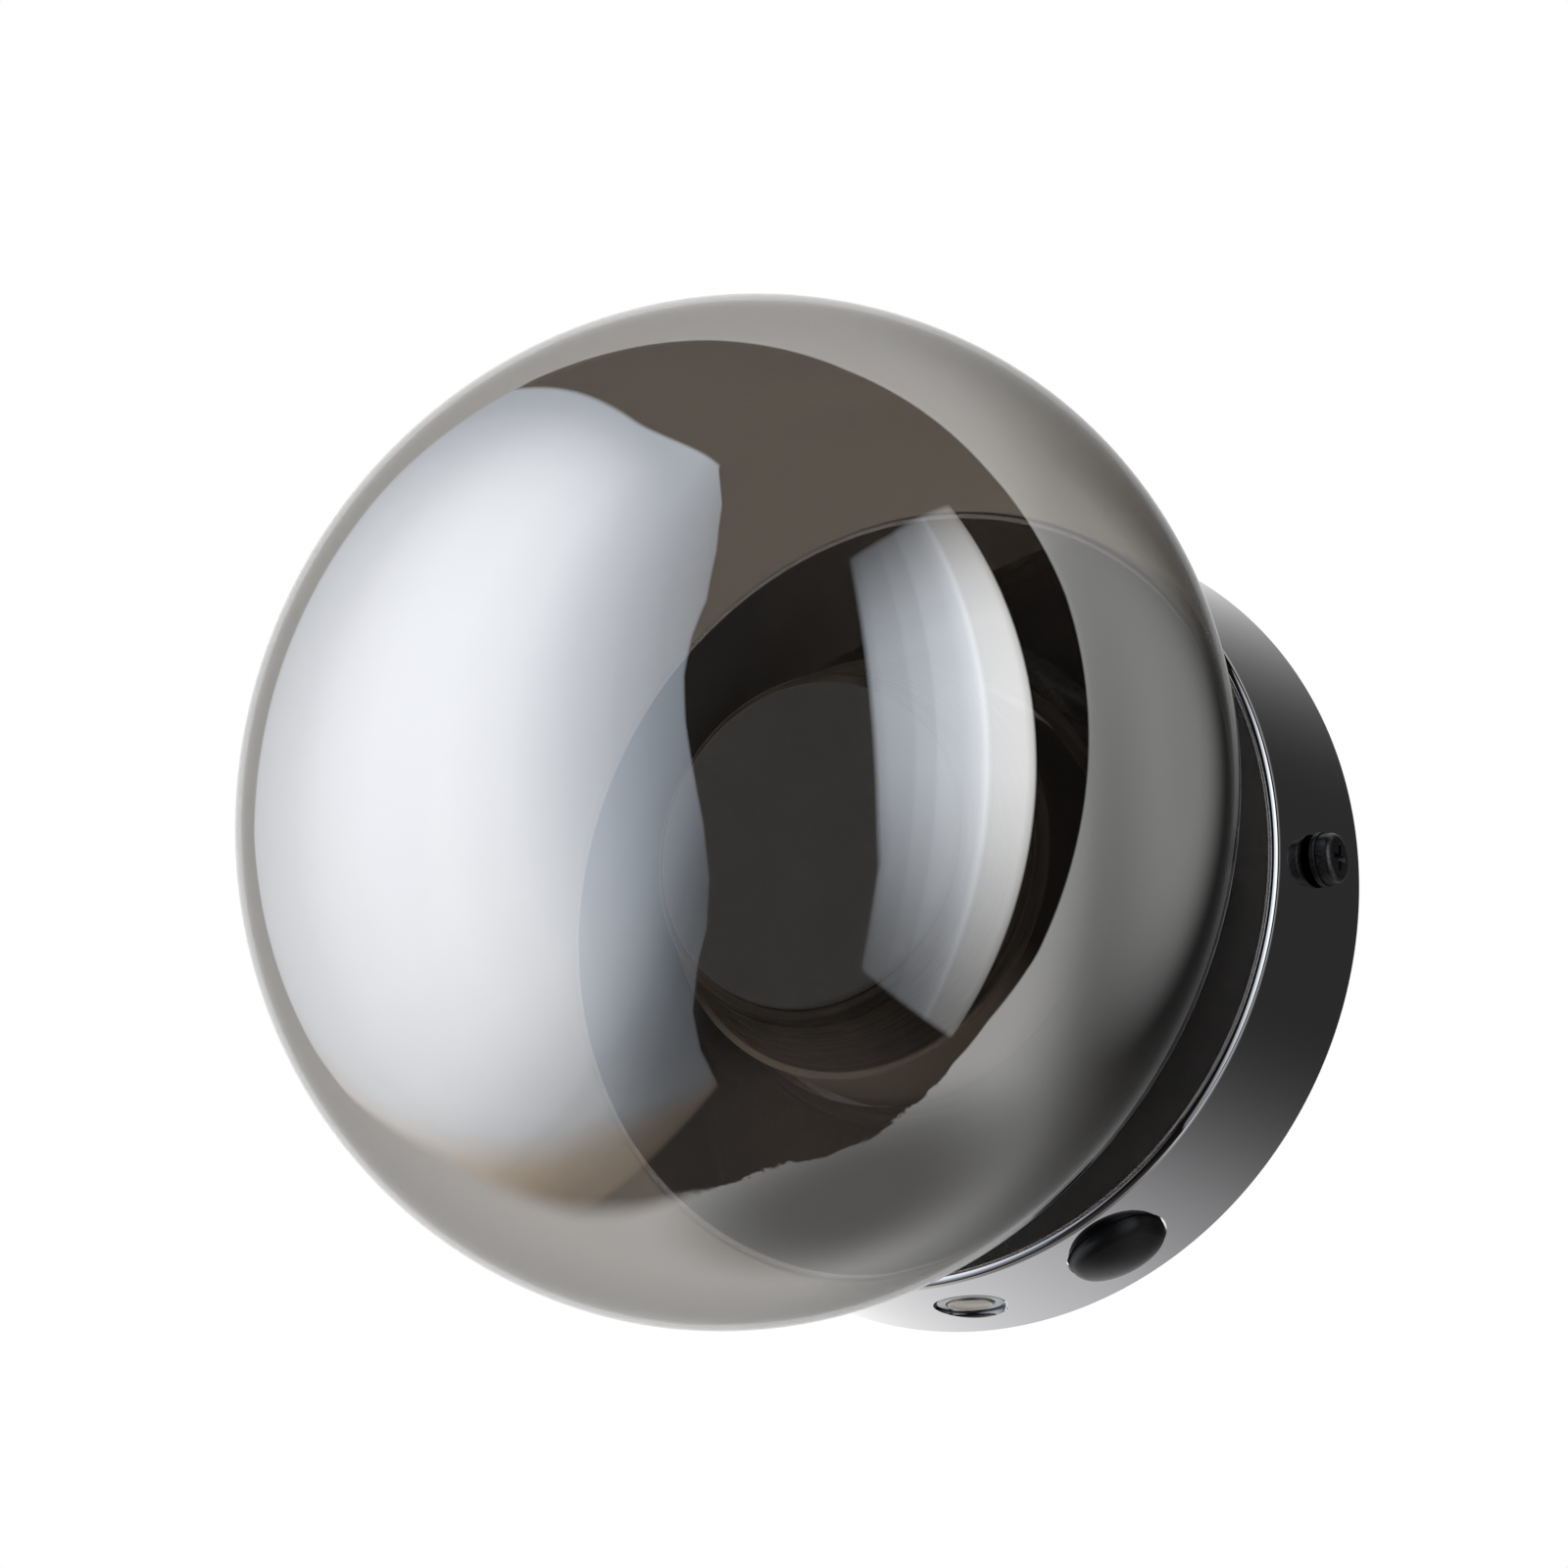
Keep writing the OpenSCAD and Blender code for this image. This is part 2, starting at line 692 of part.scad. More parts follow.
module support_plate() {
    color("#a9acb0") on_wall() difference() {
        union() {
            difference() {
                union() {
                    rod(plate_r, plate_back, plate_top);
                    tab_root(switch_angle);
                    tab_root(button_angle);
                }
                radial(switch_angle)
                    rod(switch_body_r + slide_fit, body_low_r - slide_fit, tab_r + cut);
                radial(button_angle)
                    rod(button_shoulder_r + slide_fit, button_low_r - slide_fit, tab_r + cut);
            }
            for (angle = plate_angles) {
                rotate([0, 0, angle]) {
                    translate([arm_in_r, -arm_w / 2, plate_back])
                        cube([spacer_ring_r - arm_in_r, arm_w, plate_t]);
                    translate([spacer_ring_r, 0, 0]) rod(arm_w / 2, plate_back, plate_top);
                }
            }
            tab_flange(switch_angle, bush_r + slide_fit);
            tab_flange(button_angle, button_bush_r + slide_fit);
        }
        rod(wire_hole_r, plate_back - cut, plate_top + cut);
        for (angle = plate_angles) {
            rotate([0, 0, angle]) translate([spacer_ring_r, 0, 0])
                rod(small_r + screw_fit, plate_back - cut, plate_top + cut);
        }
        for (angle = drum_screw_angles) {
            rotate([0, 0, angle]) translate([drum_screw_ring_r, 0, 0])
                rod(small_r + screw_fit, plate_back - cut, plate_top + cut);
        }
        translate([block_screw_x, block_y, 0])
            rod(block_screw_r + screw_fit, plate_back - cut, plate_top + cut);
    }
}

module spacers() {
    color("#c4c6c9") on_wall() for (angle = plate_angles) {
        rotate([0, 0, angle]) translate([spacer_ring_r, 0, 0])
            nut(spacer_af, small_r + screw_fit, plate_top, sheet_z);
    }
}

// Small screw driven from the wall's side: its head is under z = 0 and its shank points at the room
module inner_screw(r, len, head_r) {
    mirror([0, 0, 1]) pan_screw(r, len, head_r, small_head_h);
}

module plate_screws() {
    color("#8f9296") on_wall() for (angle = plate_angles) {
        rotate([0, 0, angle]) translate([spacer_ring_r, 0, plate_back])
            inner_screw(small_r, sheet_z - plate_back - face_gap, small_head_r);
    }
}

module drum_screws() {
    color("#8f9296") on_wall() for (angle = drum_screw_angles) {
        rotate([0, 0, angle]) translate([drum_screw_ring_r, 0, plate_back])
            inner_screw(small_r, plate_t + drum_screw_depth - face_gap, small_head_r);
    }
}

// Rivets under the sheet that stop the lugs in the locked position
module stop_pins() {
    pin_ring_r = lug_r - pin_r;
    lag = lug_angle / 2 + asin((pin_r + pin_margin) / pin_ring_r);
    color("#8f9296") on_wall() for (i = [0 : lug_count - 1]) {
        rotate([0, 0, first_lug - lag + i * 360 / lug_count]) translate([pin_ring_r, 0, 0])
            rod(pin_r, lug_bottom, sheet_z);
    }
}

// Outline of the turned drum
module drum_profile() {
    polygon([[0, drum_low], [drum_r, drum_low], [drum_r, drum_top - cone_step / 2],
        [drum_r - cone_step / 2, drum_top], [drum_r - cone_step, drum_top],
        [cone_top_r + cone_step / 2, cone_top - cone_step / 2], [cone_top_r, cone_top], [0, cone_top]]);
}

module heat_sink_drum() {
    cone_drop = (drum_r - cone_step - cone_top_r) / cone_rise;
    color("#9b9c9d") on_wall() difference() {
        rotate_extrude() difference() {
            drum_profile();
            translate([0, board_z]) square([recess_r, cone_top - board_z + cut]);
            translate([0, disc_low]) square([diffuser_r + disc_seat, disc_seat + cut]);
            for (i = [1 : 1 : groove_count]) {
                rise = cone_rise * i / (groove_count + 1);
                translate([drum_r - cone_step - cone_drop * rise, drum_top + rise])
                    circle(groove_r, $fn = 24);
            }
        }
        difference() {
            ring(pocket_r, hub_r, drum_low - cut, pocket_top);
            for (angle = drum_screw_angles) {
                rotate([0, 0, angle]) translate([drum_screw_ring_r, 0, 0])
                    rod(boss_r, drum_low - 2 * cut, pocket_top + cut);
            }
            for (i = [0 : fin_count - 1]) {
                rotate([0, 0, 360 * i / fin_count]) translate([0, -fin_t / 2, drum_low - 2 * cut])
                    cube([drum_r - drum_wall / 2, fin_t, drum_top - drum_low]);
            }
        }
        rod(lead_hole_r, drum_low - cut, board_z + cut);
        for (angle = drum_screw_angles) {
            rotate([0, 0, angle]) translate([drum_screw_ring_r, 0, 0])
                rod(small_r + screw_fit, drum_low - cut, drum_low + drum_screw_depth);
        }
        for (angle = board_screw_angles) {
            rotate([0, 0, angle]) translate([board_screw_r, 0, 0])
                rod(small_r + screw_fit, board_z - board_screw_depth - screw_fit, board_z + cut);
        }
    }
}

module led_board() {
    color("#f2f2ee") on_wall() difference() {
        rod(board_r, board_z, board_z + board_t);
        rod(lead_hole_r, board_z - cut, board_z + board_t + cut);
        for (angle = board_screw_angles) {
            rotate([0, 0, angle]) translate([board_screw_r, 0, 0])
                rod(small_r + screw_fit, board_z - cut, board_z + board_t + cut);
        }
    }
}

module chip_ring(count, r) {
    for (i = [0 : count - 1]) {
        rotate([0, 0, 360 * (i + 0.5) / count])
            translate([r, 0, chip_size[2] / 2]) cube(chip_size, center = true);
    }
}

module led_chips() {
    color("#f0dc7a") on_wall() translate([0, 0, board_z + board_t]) {
        chip_ring(outer_chip_count, outer_chip_r);
        chip_ring(inner_chip_count, inner_chip_r);
    }
}

module board_screws() {
    color("#8f9296") on_wall() for (angle = board_screw_angles) {
        rotate([0, 0, angle]) translate([board_screw_r, 0, board_z + board_t])
            pan_screw(small_r, board_t + board_screw_depth, small_head_r, small_head_h);
    }
}

module board_connector() {
    color("#f4f4f1") on_wall()
        translate([connector_x, 0, board_z + board_t + connector_size[2] / 2])
            cube(connector_size, center = true);
}

// Opal disc with a short push-in skirt
module diffuser() {
    color("#e9e7e2") on_wall() rotate_extrude() translate([0, disc_low]) {
        square([diffuser_r - disc_edge, diffuser_t]);
        square([diffuser_r, diffuser_t - disc_edge]);
        translate([diffuser_r - disc_edge, diffuser_t - disc_edge]) circle(disc_edge, $fn = 32);
        translate([recess_r - disc_seat - skirt_t, -skirt_len]) square([skirt_t, skirt_len + disc_edge]);
    }
}

module driver_outline(inset) {
    length = driver_len - 2 * inset;
    width = driver_w - 2 * inset;
    corner = max(driver_corner - inset, driver_wall / 2);
    translate([0, driver_y + driver_w / 2]) {
        square([length - 2 * corner, width], center = true);
        square([length, width - 2 * corner], center = true);
        for (x = [-1, 1], y = [-1, 1]) {
            translate([x * (length / 2 - corner), y * (width / 2 - corner)]) circle(corner, $fn = 48);
        }
    }
}

// Short collar on a side of the driver, for a lead of radius r at height y
module port(side, y, r, low, top) {
    translate([0, y, port_z]) rotate([0, side * 90, 0]) rod(r, driver_len / 2 + low, driver_len / 2 + top);
}

module ports(wall, low, top) {
    for (offset = right_port_offsets) {
        port(1, driver_y + offset, lead_r + wall, low, top);
    }
    port(-1, driver_y + left_port_offset, sheath_r + wall, low, top);
}

// Closed cup, open towards the wall, with a collar round each lead
module driver_case() {
    color("#f1f1ee") on_wall() difference() {
        union() {
            translate([0, 0, driver_low + lid_t]) linear_extrude(driver_h - lid_t) driver_outline(0);
            ports(port_wall, -driver_wall / 2, port_len);
        }
        translate([0, 0, driver_low]) linear_extrude(driver_h - driver_wall) driver_outline(driver_wall);
        ports(screw_fit, -driver_wall - cut, port_len + cut);
    }
}

module driver_lid() {
    color("#e4e4e0") on_wall() {
        translate([0, 0, driver_low]) linear_extrude(lid_t) driver_outline(0);
        translate([0, 0, driver_low + lid_t]) linear_extrude(lid_t) difference() {
            driver_outline(driver_wall + slide_fit);
            driver_outline(2 * driver_wall + slide_fit);
        }
    }
}

// Circuit board with its coil, its capacitor and its small parts
module driver_board() {
    part_low = circuit_z + circuit_t;
    middle = driver_y + driver_w / 2;
    color("#2f6b3f") on_wall() {
        translate([0, 0, circuit_z]) linear_extrude(circuit_t) driver_outline(driver_wall + slide_fit);
        translate([coil_x - coil_w / 2, middle - coil_d / 2, circuit_z])
            cube([coil_w, coil_d, part_top - circuit_z]);
        translate([capacitor_x, middle, 0]) rod(capacitor_r, circuit_z, part_top);
        for (x = filter_x) {
            translate([x, middle, 0]) rod(filter_r, circuit_z, (part_low + part_top) / 2);
        }
    }
}

module driver_pad() {
    color("#3a3a3c") on_wall() translate([-pad_len / 2, driver_y + pad_inset, driver_top])
        cube([pad_len, pad_w, pad_t]);
}

function pole_x(i) = block_x + (i - (pole_count - 1) / 2) * pole_pitch;

module terminal_block() {
    color("#efefec") on_wall() difference() {
        union() {
            translate([block_x - block_w / 2, block_y - block_len / 2, block_low + block_foot])
                cube([block_w, block_len, block_h - block_foot]);
            for (i = [0 : pole_count - 1]) {
                translate([pole_x(i) - pole_w / 2, block_y - block_len / 2, block_low])
                    cube([pole_w, block_len, block_h - block_foot]);
            }
        }
        for (i = [0 : pole_count - 1]) {
            translate([pole_x(i), block_y, pole_bore_z]) rotate([90, 0, 0])
                rod(pole_bore_r, -block_len / 2 - cut, block_len / 2 + cut);
            for (side = [-1, 1]) {
                translate([pole_x(i), block_y + side * block_len / 4, block_low])
                    rod(clamp_r + screw_fit, -cut, clamp_depth + clamp_len);
            }
        }
        translate([block_screw_x, block_y, 0]) {
            rod(block_screw_r + screw_fit, block_low - cut, plate_back + cut);
            rod(block_head_r + pass_fit, block_low - cut, block_low + block_foot);
        }
    }
}

module terminal_clamps() {
    color("#c2b06a") on_wall() for (i = [0 : pole_count - 1], side = [-1, 1]) {
        translate([pole_x(i), block_y + side * block_len / 4, block_low + clamp_depth]) difference() {
            rod(clamp_r, 0, clamp_len);
            translate([-clamp_r - cut, -clamp_r * recess_w_share, -cut])
                cube([2 * clamp_r + 2 * cut, 2 * clamp_r * recess_w_share, clamp_len / 3 + cut]);
        }
    }
}

module terminal_screw() {
    color("#8f9296") on_wall() translate([block_screw_x, block_y, block_low + block_foot])
        inner_screw(block_screw_r, block_h - block_foot + plate_t, block_head_r);
}

// Threaded bush, shoulder and case of the push switch, with the bore for its plunger
module switch_body() {
    color("#1d1d1f") on_wall() radial(switch_angle) difference() {
        union() {
            rod(switch_body_r, body_low_r, tab_r);
            rod(bush_r, tab_r, bush_end_r);
        }
        rod(cavity_r, cavity_low_r, tab_r - shoulder_h);
        rod(plunger_r + slide_fit, tab_r - shoulder_h - cut, bush_end_r + cut);
    }
}

module switch_nut() {
    color("#c4c6c9") on_wall() radial(switch_angle)
        nut(nut_af, bush_r + slide_fit, tab_r + plate_t, tab_r + plate_t + nut_h);
}

module switch_spring() {
    color("#b5b8bb") on_wall() radial(switch_angle)
        ring(plunger_r + spring_wall / 2, plunger_r - spring_wall / 2, cavity_low_r, plunger_low_r);
}

module switch_plunger() {
    color("#e6e6e2") on_wall() radial(switch_angle) {
        rod(foot_r, plunger_low_r, plunger_low_r + foot_h);
        rod(plunger_r, plunger_low_r, cap_low_r + cap_grip);
    }
}

// Domed rubber cap; its dome is the cap of a sphere
module switch_cap() {
    sphere_r = (cap_r * cap_r + cap_dome * cap_dome) / (2 * cap_dome);
    color("#151516") on_wall() radial(switch_angle) difference() {
        union() {
            rod(cap_r, cap_low_r, cap_top_r);
            intersection() {
                translate([0, 0, cap_top_r + cap_dome - sphere_r]) sphere(sphere_r);
                rod(cap_r, cap_top_r - cut, cap_top_r + cap_dome + cut);
            }
        }
        rod(plunger_r + screw_fit, cap_low_r - cut, cap_low_r + cap_grip);
        rod(cap_cavity_r, cap_low_r - cut, cap_low_r + cap_cavity_h);
    }
}

module switch_tags() {
    color("#d3c27c") on_wall() radial(switch_angle) for (side = [-1, 1]) {
        translate([-tag_t / 2, side * tag_offset - tag_w / 2, body_low_r - tag_len])
            cube([tag_t, tag_w, tag_len]);
    }
}

// Bezel ring, threaded bush, shoulder and case of the button
module button_body() {
    color("#a3a5a8") on_wall() radial(button_angle) difference() {
        union() {
            rod(button_shoulder_r, button_low_r, tab_r);
            rod(button_bush_r, tab_r, bezel_top_r - bezel_h);
            rotate_extrude() {
                translate([0, bezel_top_r - bezel_h]) square([bezel_r, bezel_h - bezel_edge]);
                translate([0, bezel_top_r - bezel_h]) square([bezel_r - bezel_edge, bezel_h]);
                translate([bezel_r - bezel_edge, bezel_top_r - bezel_edge]) circle(bezel_edge, $fn = 32);
            }
        }
        rod(button_cavity_r, button_cavity_low_r, tab_r - shoulder_h);
        rod(stem_r + slide_fit, tab_r - shoulder_h - cut, button_floor_r + cut);
        rod(button_bore_r, button_floor_r, bezel_top_r + cut);
    }
}

module button_nut() {
    color("#c4c6c9") on_wall() radial(button_angle)
        nut(button_nut_af, button_bush_r + slide_fit, tab_r + plate_t, tab_r + plate_t + nut_h);
}

module button_spring() {
    color("#b5b8bb") on_wall() radial(button_angle)
        ring(button_cap_r - button_spring_fit, stem_r + button_spring_fit, button_floor_r,
            button_cap_top_r - button_cap_h);
}

module button_cap() {
    color("#e2e0da") on_wall() radial(button_angle) {
        rod(button_cap_r, button_cap_top_r - button_cap_h, button_cap_top_r);
        rod(stem_r, plunger_low_r, button_cap_top_r - button_cap_h / 2);
        rod(button_foot_r, plunger_low_r, plunger_low_r + foot_h);
    }
}

module button_pins() {
    color("#d3c27c") on_wall() radial(button_angle) for (side = [-1, 1]) {
        translate([0, side * contact_offset, 0]) rod(contact_r, button_low_r - contact_len, button_low_r);
    }
}

// Two-way socket that slides over the button's pins
module button_plug() {
    top = button_low_r - plug_gap;
    color("#f3f3ef") on_wall() radial(button_angle) difference() {
        translate([-plug_h / 2, -plug_w / 2, top - plug_len]) cube([plug_h, plug_w, plug_len]);
        for (side = [-1, 1]) {
            translate([0, side * contact_offset, 0])
                rod(contact_r + screw_fit, button_low_r - contact_len - plug_gap, top + cut);
        }
    }
}

module line_lead() {
    color("#6b3f24") on_wall() lead(line_route, lead_r);
}

module switched_lead() {
    color("#1b1b1d") on_wall() lead(switched_route, lead_r);
}

module neutral_lead() {
    color("#2b57a6") on_wall() lead(neutral_route, lead_r);
}

module earth_lead() {
    color("#5f9e3a") on_wall() lead(earth_route, lead_r);
}

module lamp_lead() {
    color("#eeeeea") on_wall() lead(lamp_route, sheath_r);
}

module button_lead() {
    color("#eeeeea") on_wall() lead(button_route, lead_r);
}

// Half of the globe's profile above its widest circle: a bend arc and a crown arc that touches it
module oval_half(a, c, bend) {
    crown = crown_r(a, c, bend);
    center_y = c - crown;
    reach = 1.3 * crown;
    lean = atan2(a - bend, -center_y);
    intersection() {
        square([a, c]);
        union() {
            translate([a - bend, 0]) circle(bend);
            intersection() {
                translate([0, center_y]) circle(crown);
                polygon([[0, center_y], [reach * sin(lean), center_y + reach * cos(lean)],
                    [0, center_y + reach]]);
            }
        }
    }
}

module globe_outline(inset) {
    translate([0, equator_z]) {
        oval_half(globe_r - inset, globe_front - inset, front_fillet_r - inset);
        mirror([0, 1]) oval_half(globe_r - inset, globe_rear - inset, rear_fillet_r - inset);
    }
}

module glass_globe() {
    color("#8d8a86", 0.45) on_wall() rotate_extrude(convexity = 6) difference() {
        union() {
            globe_outline(0);
            translate([0, lug_bottom + neck_lip]) square([neck_r, equator_z - neck_depth / 2 - lug_bottom]);
            translate([0, lug_bottom]) square([neck_r - neck_lip, neck_lip * 2]);
            translate([neck_r - neck_lip, lug_bottom + neck_lip]) circle(neck_lip, $fn = 32);
        }
        globe_outline(glass_wall);
        square([neck_in_r, equator_z]);
    }
}

module bayonet_collar() {
    color("#2a2a2c") on_wall() {
        ring(skirt_r, skirt_in_r, lug_bottom, flange_z + collar_wall);
        ring(flange_r, skirt_in_r, flange_z, flange_z + collar_wall);
        for (i = [0 : lug_count - 1]) {
            rotate([0, 0, first_lug + i * 360 / lug_count]) translate([0, 0, lug_bottom])
                linear_extrude(lug_t) difference() {
                    sector(lug_r, lug_angle / 2);
                    circle(skirt_r - collar_wall / 2);
                }
        }
    }
}

module collar_gasket() {
    color("#3a3a3c") on_wall()
        ring(flange_r - face_gap, skirt_r + slide_fit, canopy_depth + gasket_gap, flange_z);
}

canopy();
wall_bracket();
side_screws();
side_washers();
cable_grommet();
earth_screw();
earth_washer();
earth_lug();
support_plate();
spacers();
plate_screws();
drum_screws();
stop_pins();
heat_sink_drum();
led_board();
led_chips();
board_screws();
board_connector();
diffuser();
driver_case();
driver_lid();
driver_board();
driver_pad();
terminal_block();
terminal_clamps();
terminal_screw();
switch_body();
switch_nut();
switch_spring();
switch_tags();
button_body();
button_nut();
button_spring();
button_pins();
button_plug();
line_lead();
switched_lead();
neutral_lead();
earth_lead();
lamp_lead();
button_lead();
switch_cap();
switch_plunger();
button_cap();
glass_globe();
bayonet_collar();
collar_gasket();
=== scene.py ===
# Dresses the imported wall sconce: a half-mirrored smoke glass globe on a black chrome canopy.
# Sketch sizes are in millimetres. A sketch point is (x, height, distance from the wall), or (radius, distance
# along the axis) on a profile, and an axis below puts it in the room, where a metre is one unit.

import json
import math

import bmesh
import bpy
from mathutils import Matrix, Vector

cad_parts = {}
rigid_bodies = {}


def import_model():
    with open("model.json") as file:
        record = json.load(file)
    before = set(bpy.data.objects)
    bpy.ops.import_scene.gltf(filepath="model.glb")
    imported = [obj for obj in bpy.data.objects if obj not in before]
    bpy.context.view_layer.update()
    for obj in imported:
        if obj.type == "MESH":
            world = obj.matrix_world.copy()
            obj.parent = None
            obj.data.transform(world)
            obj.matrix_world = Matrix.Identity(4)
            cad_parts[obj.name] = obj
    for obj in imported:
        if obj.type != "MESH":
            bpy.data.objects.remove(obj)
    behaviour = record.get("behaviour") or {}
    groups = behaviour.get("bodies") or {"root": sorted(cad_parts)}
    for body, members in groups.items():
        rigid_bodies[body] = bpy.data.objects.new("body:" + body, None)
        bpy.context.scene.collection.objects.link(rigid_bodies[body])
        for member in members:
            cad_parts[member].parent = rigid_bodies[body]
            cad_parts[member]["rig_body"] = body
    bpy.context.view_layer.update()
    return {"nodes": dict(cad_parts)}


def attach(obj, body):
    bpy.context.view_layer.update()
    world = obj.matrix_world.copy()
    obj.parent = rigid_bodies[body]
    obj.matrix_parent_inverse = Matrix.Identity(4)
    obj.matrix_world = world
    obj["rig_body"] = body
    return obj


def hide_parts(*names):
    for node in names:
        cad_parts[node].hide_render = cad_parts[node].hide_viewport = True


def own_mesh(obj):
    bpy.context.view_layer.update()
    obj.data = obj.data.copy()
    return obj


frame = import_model()

MM = 0.001
SIDE_Z = 12.0
SWITCH_ANGLE = -63.5
BUTTON_ANGLE = -87.5

# The canopy: its foot, how much narrower its front is, its depth, sheet, mouth, holes and bayonet entries
FOOT_R, TAPER, DEPTH, SHEET, MOUTH_R = 62.0, 2.0, 24.0, 1.2, 37.4
LEAN = math.atan2(TAPER, DEPTH)
SIDE_R, SIDE_SEAT_R = 60.4, 62.2017
SCREW_HOLE_R, SWITCH_HOLE_R, BUTTON_HOLE_R = 2.3, 7.9, 5.6
ENTRY_ANGLES, ENTRY_HALF, ENTRY_R = (65, 185, 305), 14, 40

# The globe: its widest circle, the depth and the bend of each half, its neck, and the glass at its widest
GLOBE_R, GLOBE_MIDDLE, FRONT_HALF, FRONT_BEND, REAR_HALF, REAR_BEND = 75.0, 77.0709, 64.5, 58.6, 58.5, 45.4
NECK_R, NECK_IN_R, NECK_JOIN, NECK_END, NECK_LIP, GLASS = 35.5, 33.3, 26.3, 20.6, 0.6, 0.9

# The lamp module: radii, then distances from the wall
DRUM_R, CONE_R, CONE_TOP_R, COVER_R, CHAMBER_R, POCKET_R = 32.0, 31.0, 25.8, 24.5, 23.5, 28.8
HUB_R, LEAD_WAY_R, BOSS_R, M3_WAY_R, BOSS_RING, SPACER_RING = 8.0, 2.4, 4.2, 1.55, 20, 48
PLATE_BACK, DRUM_FOOT, POCKET_TOP, WALL_TOP, BOARD_SEAT, BOARD_TOP = 18.0, 19.2, 37.0, 42.0, 46.0, 47.6
COVER_SEAT, CONE_TOP = 55.3, 55.5

# Heights in the room between which the drum's wall goes from its dark upper tone to a pale painted highlight,
# which stands in for a gleam on its foot
PAINTED_GLEAM_START_HEIGHT, PAINTED_GLEAM_FULL_HEIGHT = -14.0, -27.0

# The nuts of the switch and the button, from the lamp's middle
NUT_FOOT, NUT_HEIGHT = 47.2, 2.0

# Local z of the wall axis points out of the wall, and local y points up
WALL_AXIS = Matrix(((1, 0, 0, 0), (0, 0, -1, 0), (0, 1, 0, 0), (0, 0, 0, 1))) @ Matrix.Scale(MM, 4)


def side_axis(angle):
    """The axis of a part in the canopy's side: local z points outwards at an angle from the right."""
    s, c = math.sin(math.radians(angle)), math.cos(math.radians(angle))
    return Matrix(((0, -s, c, 0), (1, 0, 0, -SIDE_Z * MM), (0, c, s, 0), (0, 0, 0, 1))) @ Matrix.Scale(MM, 4)


def linear(hex_colour):
    """An sRGB hex colour as the linear colour that a socket takes."""
    parts = [int(hex_colour[i:i + 2], 16) / 255 for i in (1, 3, 5)]
    return (*[c / 12.92 if c <= 0.04045 else ((c + 0.055) / 1.055) ** 2.4 for c in parts], 1.0)


def add(tree, kind, inputs=None, stops=(), **settings):
    """Adds a node, sets its settings, links or sets its inputs, and returns its first output.

    An input is a value, or a socket that is linked to it. Stops are a colour ramp's (place, colour)."""
    node = tree.nodes.new(kind)
    for name, value in settings.items():
        setattr(node, name, value)
    for key, value in (inputs or {}).items():
        if isinstance(value, bpy.types.NodeSocket):
            tree.links.new(value, node.inputs[key])
        else:
            node.inputs[key].default_value = value
    for i, (place, colour) in enumerate(stops):
        elements = node.color_ramp.elements
        if i == 0:
            elements.remove(elements[1])
        stop = elements[0] if i == 0 else elements.new(place)
        stop.position = place
        stop.color = linear(colour) if isinstance(colour, str) else (colour, colour, colour, 1)
    return node.outputs[0] if node.outputs else None


# Camera

def place_camera():
    """The photograph's camera: below the lamp and to its right, with a long lens."""
    azimuth, elevation = math.radians(29.375), math.radians(-15.886)
    stand = (0.50811, -0.96657, -0.28745)
    back = Vector((math.sin(azimuth) * math.cos(elevation), -math.cos(azimuth) * math.cos(elevation),
                   math.sin(elevation)))
    right = Vector((math.cos(azimuth), math.sin(azimuth), 0))
    data = bpy.data.cameras.new("photo_camera")
    data.lens, data.sensor_width = 170.04, 36
    camera = bpy.data.objects.new("photo_camera", data)
    bpy.context.scene.collection.objects.link(camera)
    turn = Matrix((right, back.cross(right), back)).transposed().to_4x4()
    camera.matrix_world = Matrix.Translation(stand) @ turn
    bpy.context.scene.camera = camera


place_camera()


# Studio: a room that glass and chrome mirror, and plain light for everything else

LEFT_BOX, RIGHT_BOX = -52, 90     # degrees round the lamp from its front, seen from above
BOX_POWER = 4.4                   # white paper in plain light is 1; the next three are shares of this power
CLOTH, GLOW, STRIPS = 0.405, 0.52, 0.85
BACKDROP = 1.3
ROOM = (0.021, 0.018, 0.0165)
DIM, FULL = 0.78, 1.05            # what matte surfaces see below and above


def fade(tree, place, points):
    """A level, or a colour, that changes along a value, from what it is at several places."""
    low, high = points[0][0], points[-1][0]
    share = add(tree, "ShaderNodeMapRange", {0: place, 1: low, 2: high})
    return add(tree, "ShaderNodeValToRGB", {0: share},
               stops=[((spot - low) / (high - low), value) for spot, value in points])


def faded(tree, light, *fades):
    """A lamp's light after each of its fades."""
    for share in fades:
        light = add(tree, "ShaderNodeMath", {0: light, 1: share}, operation="MULTIPLY")
    return light


def share_along(tree, direction, axis):
    """How much of a direction goes along an axis."""
    met = add(tree, "ShaderNodeVectorMath", {0: direction, 1: axis}, operation="DOT_PRODUCT")
    return met.node.outputs["Value"]


def box_plane(tree, direction, azimuth):
    """Where a direction meets a lamp's upright plane at distance 1: the places across it and up it."""
    a = math.radians(azimuth)
    axes = (math.sin(a), -math.cos(a), 0), (math.cos(a), math.sin(a), 0), (0, 0, 1)
    ahead, across, up = [share_along(tree, direction, axis) for axis in axes]
    ahead = add(tree, "ShaderNodeMath", {0: ahead, 1: 0.0001}, operation="MAXIMUM")
    return [add(tree, "ShaderNodeMath", {0: value, 1: ahead}, operation="DIVIDE") for value in (across, up)]


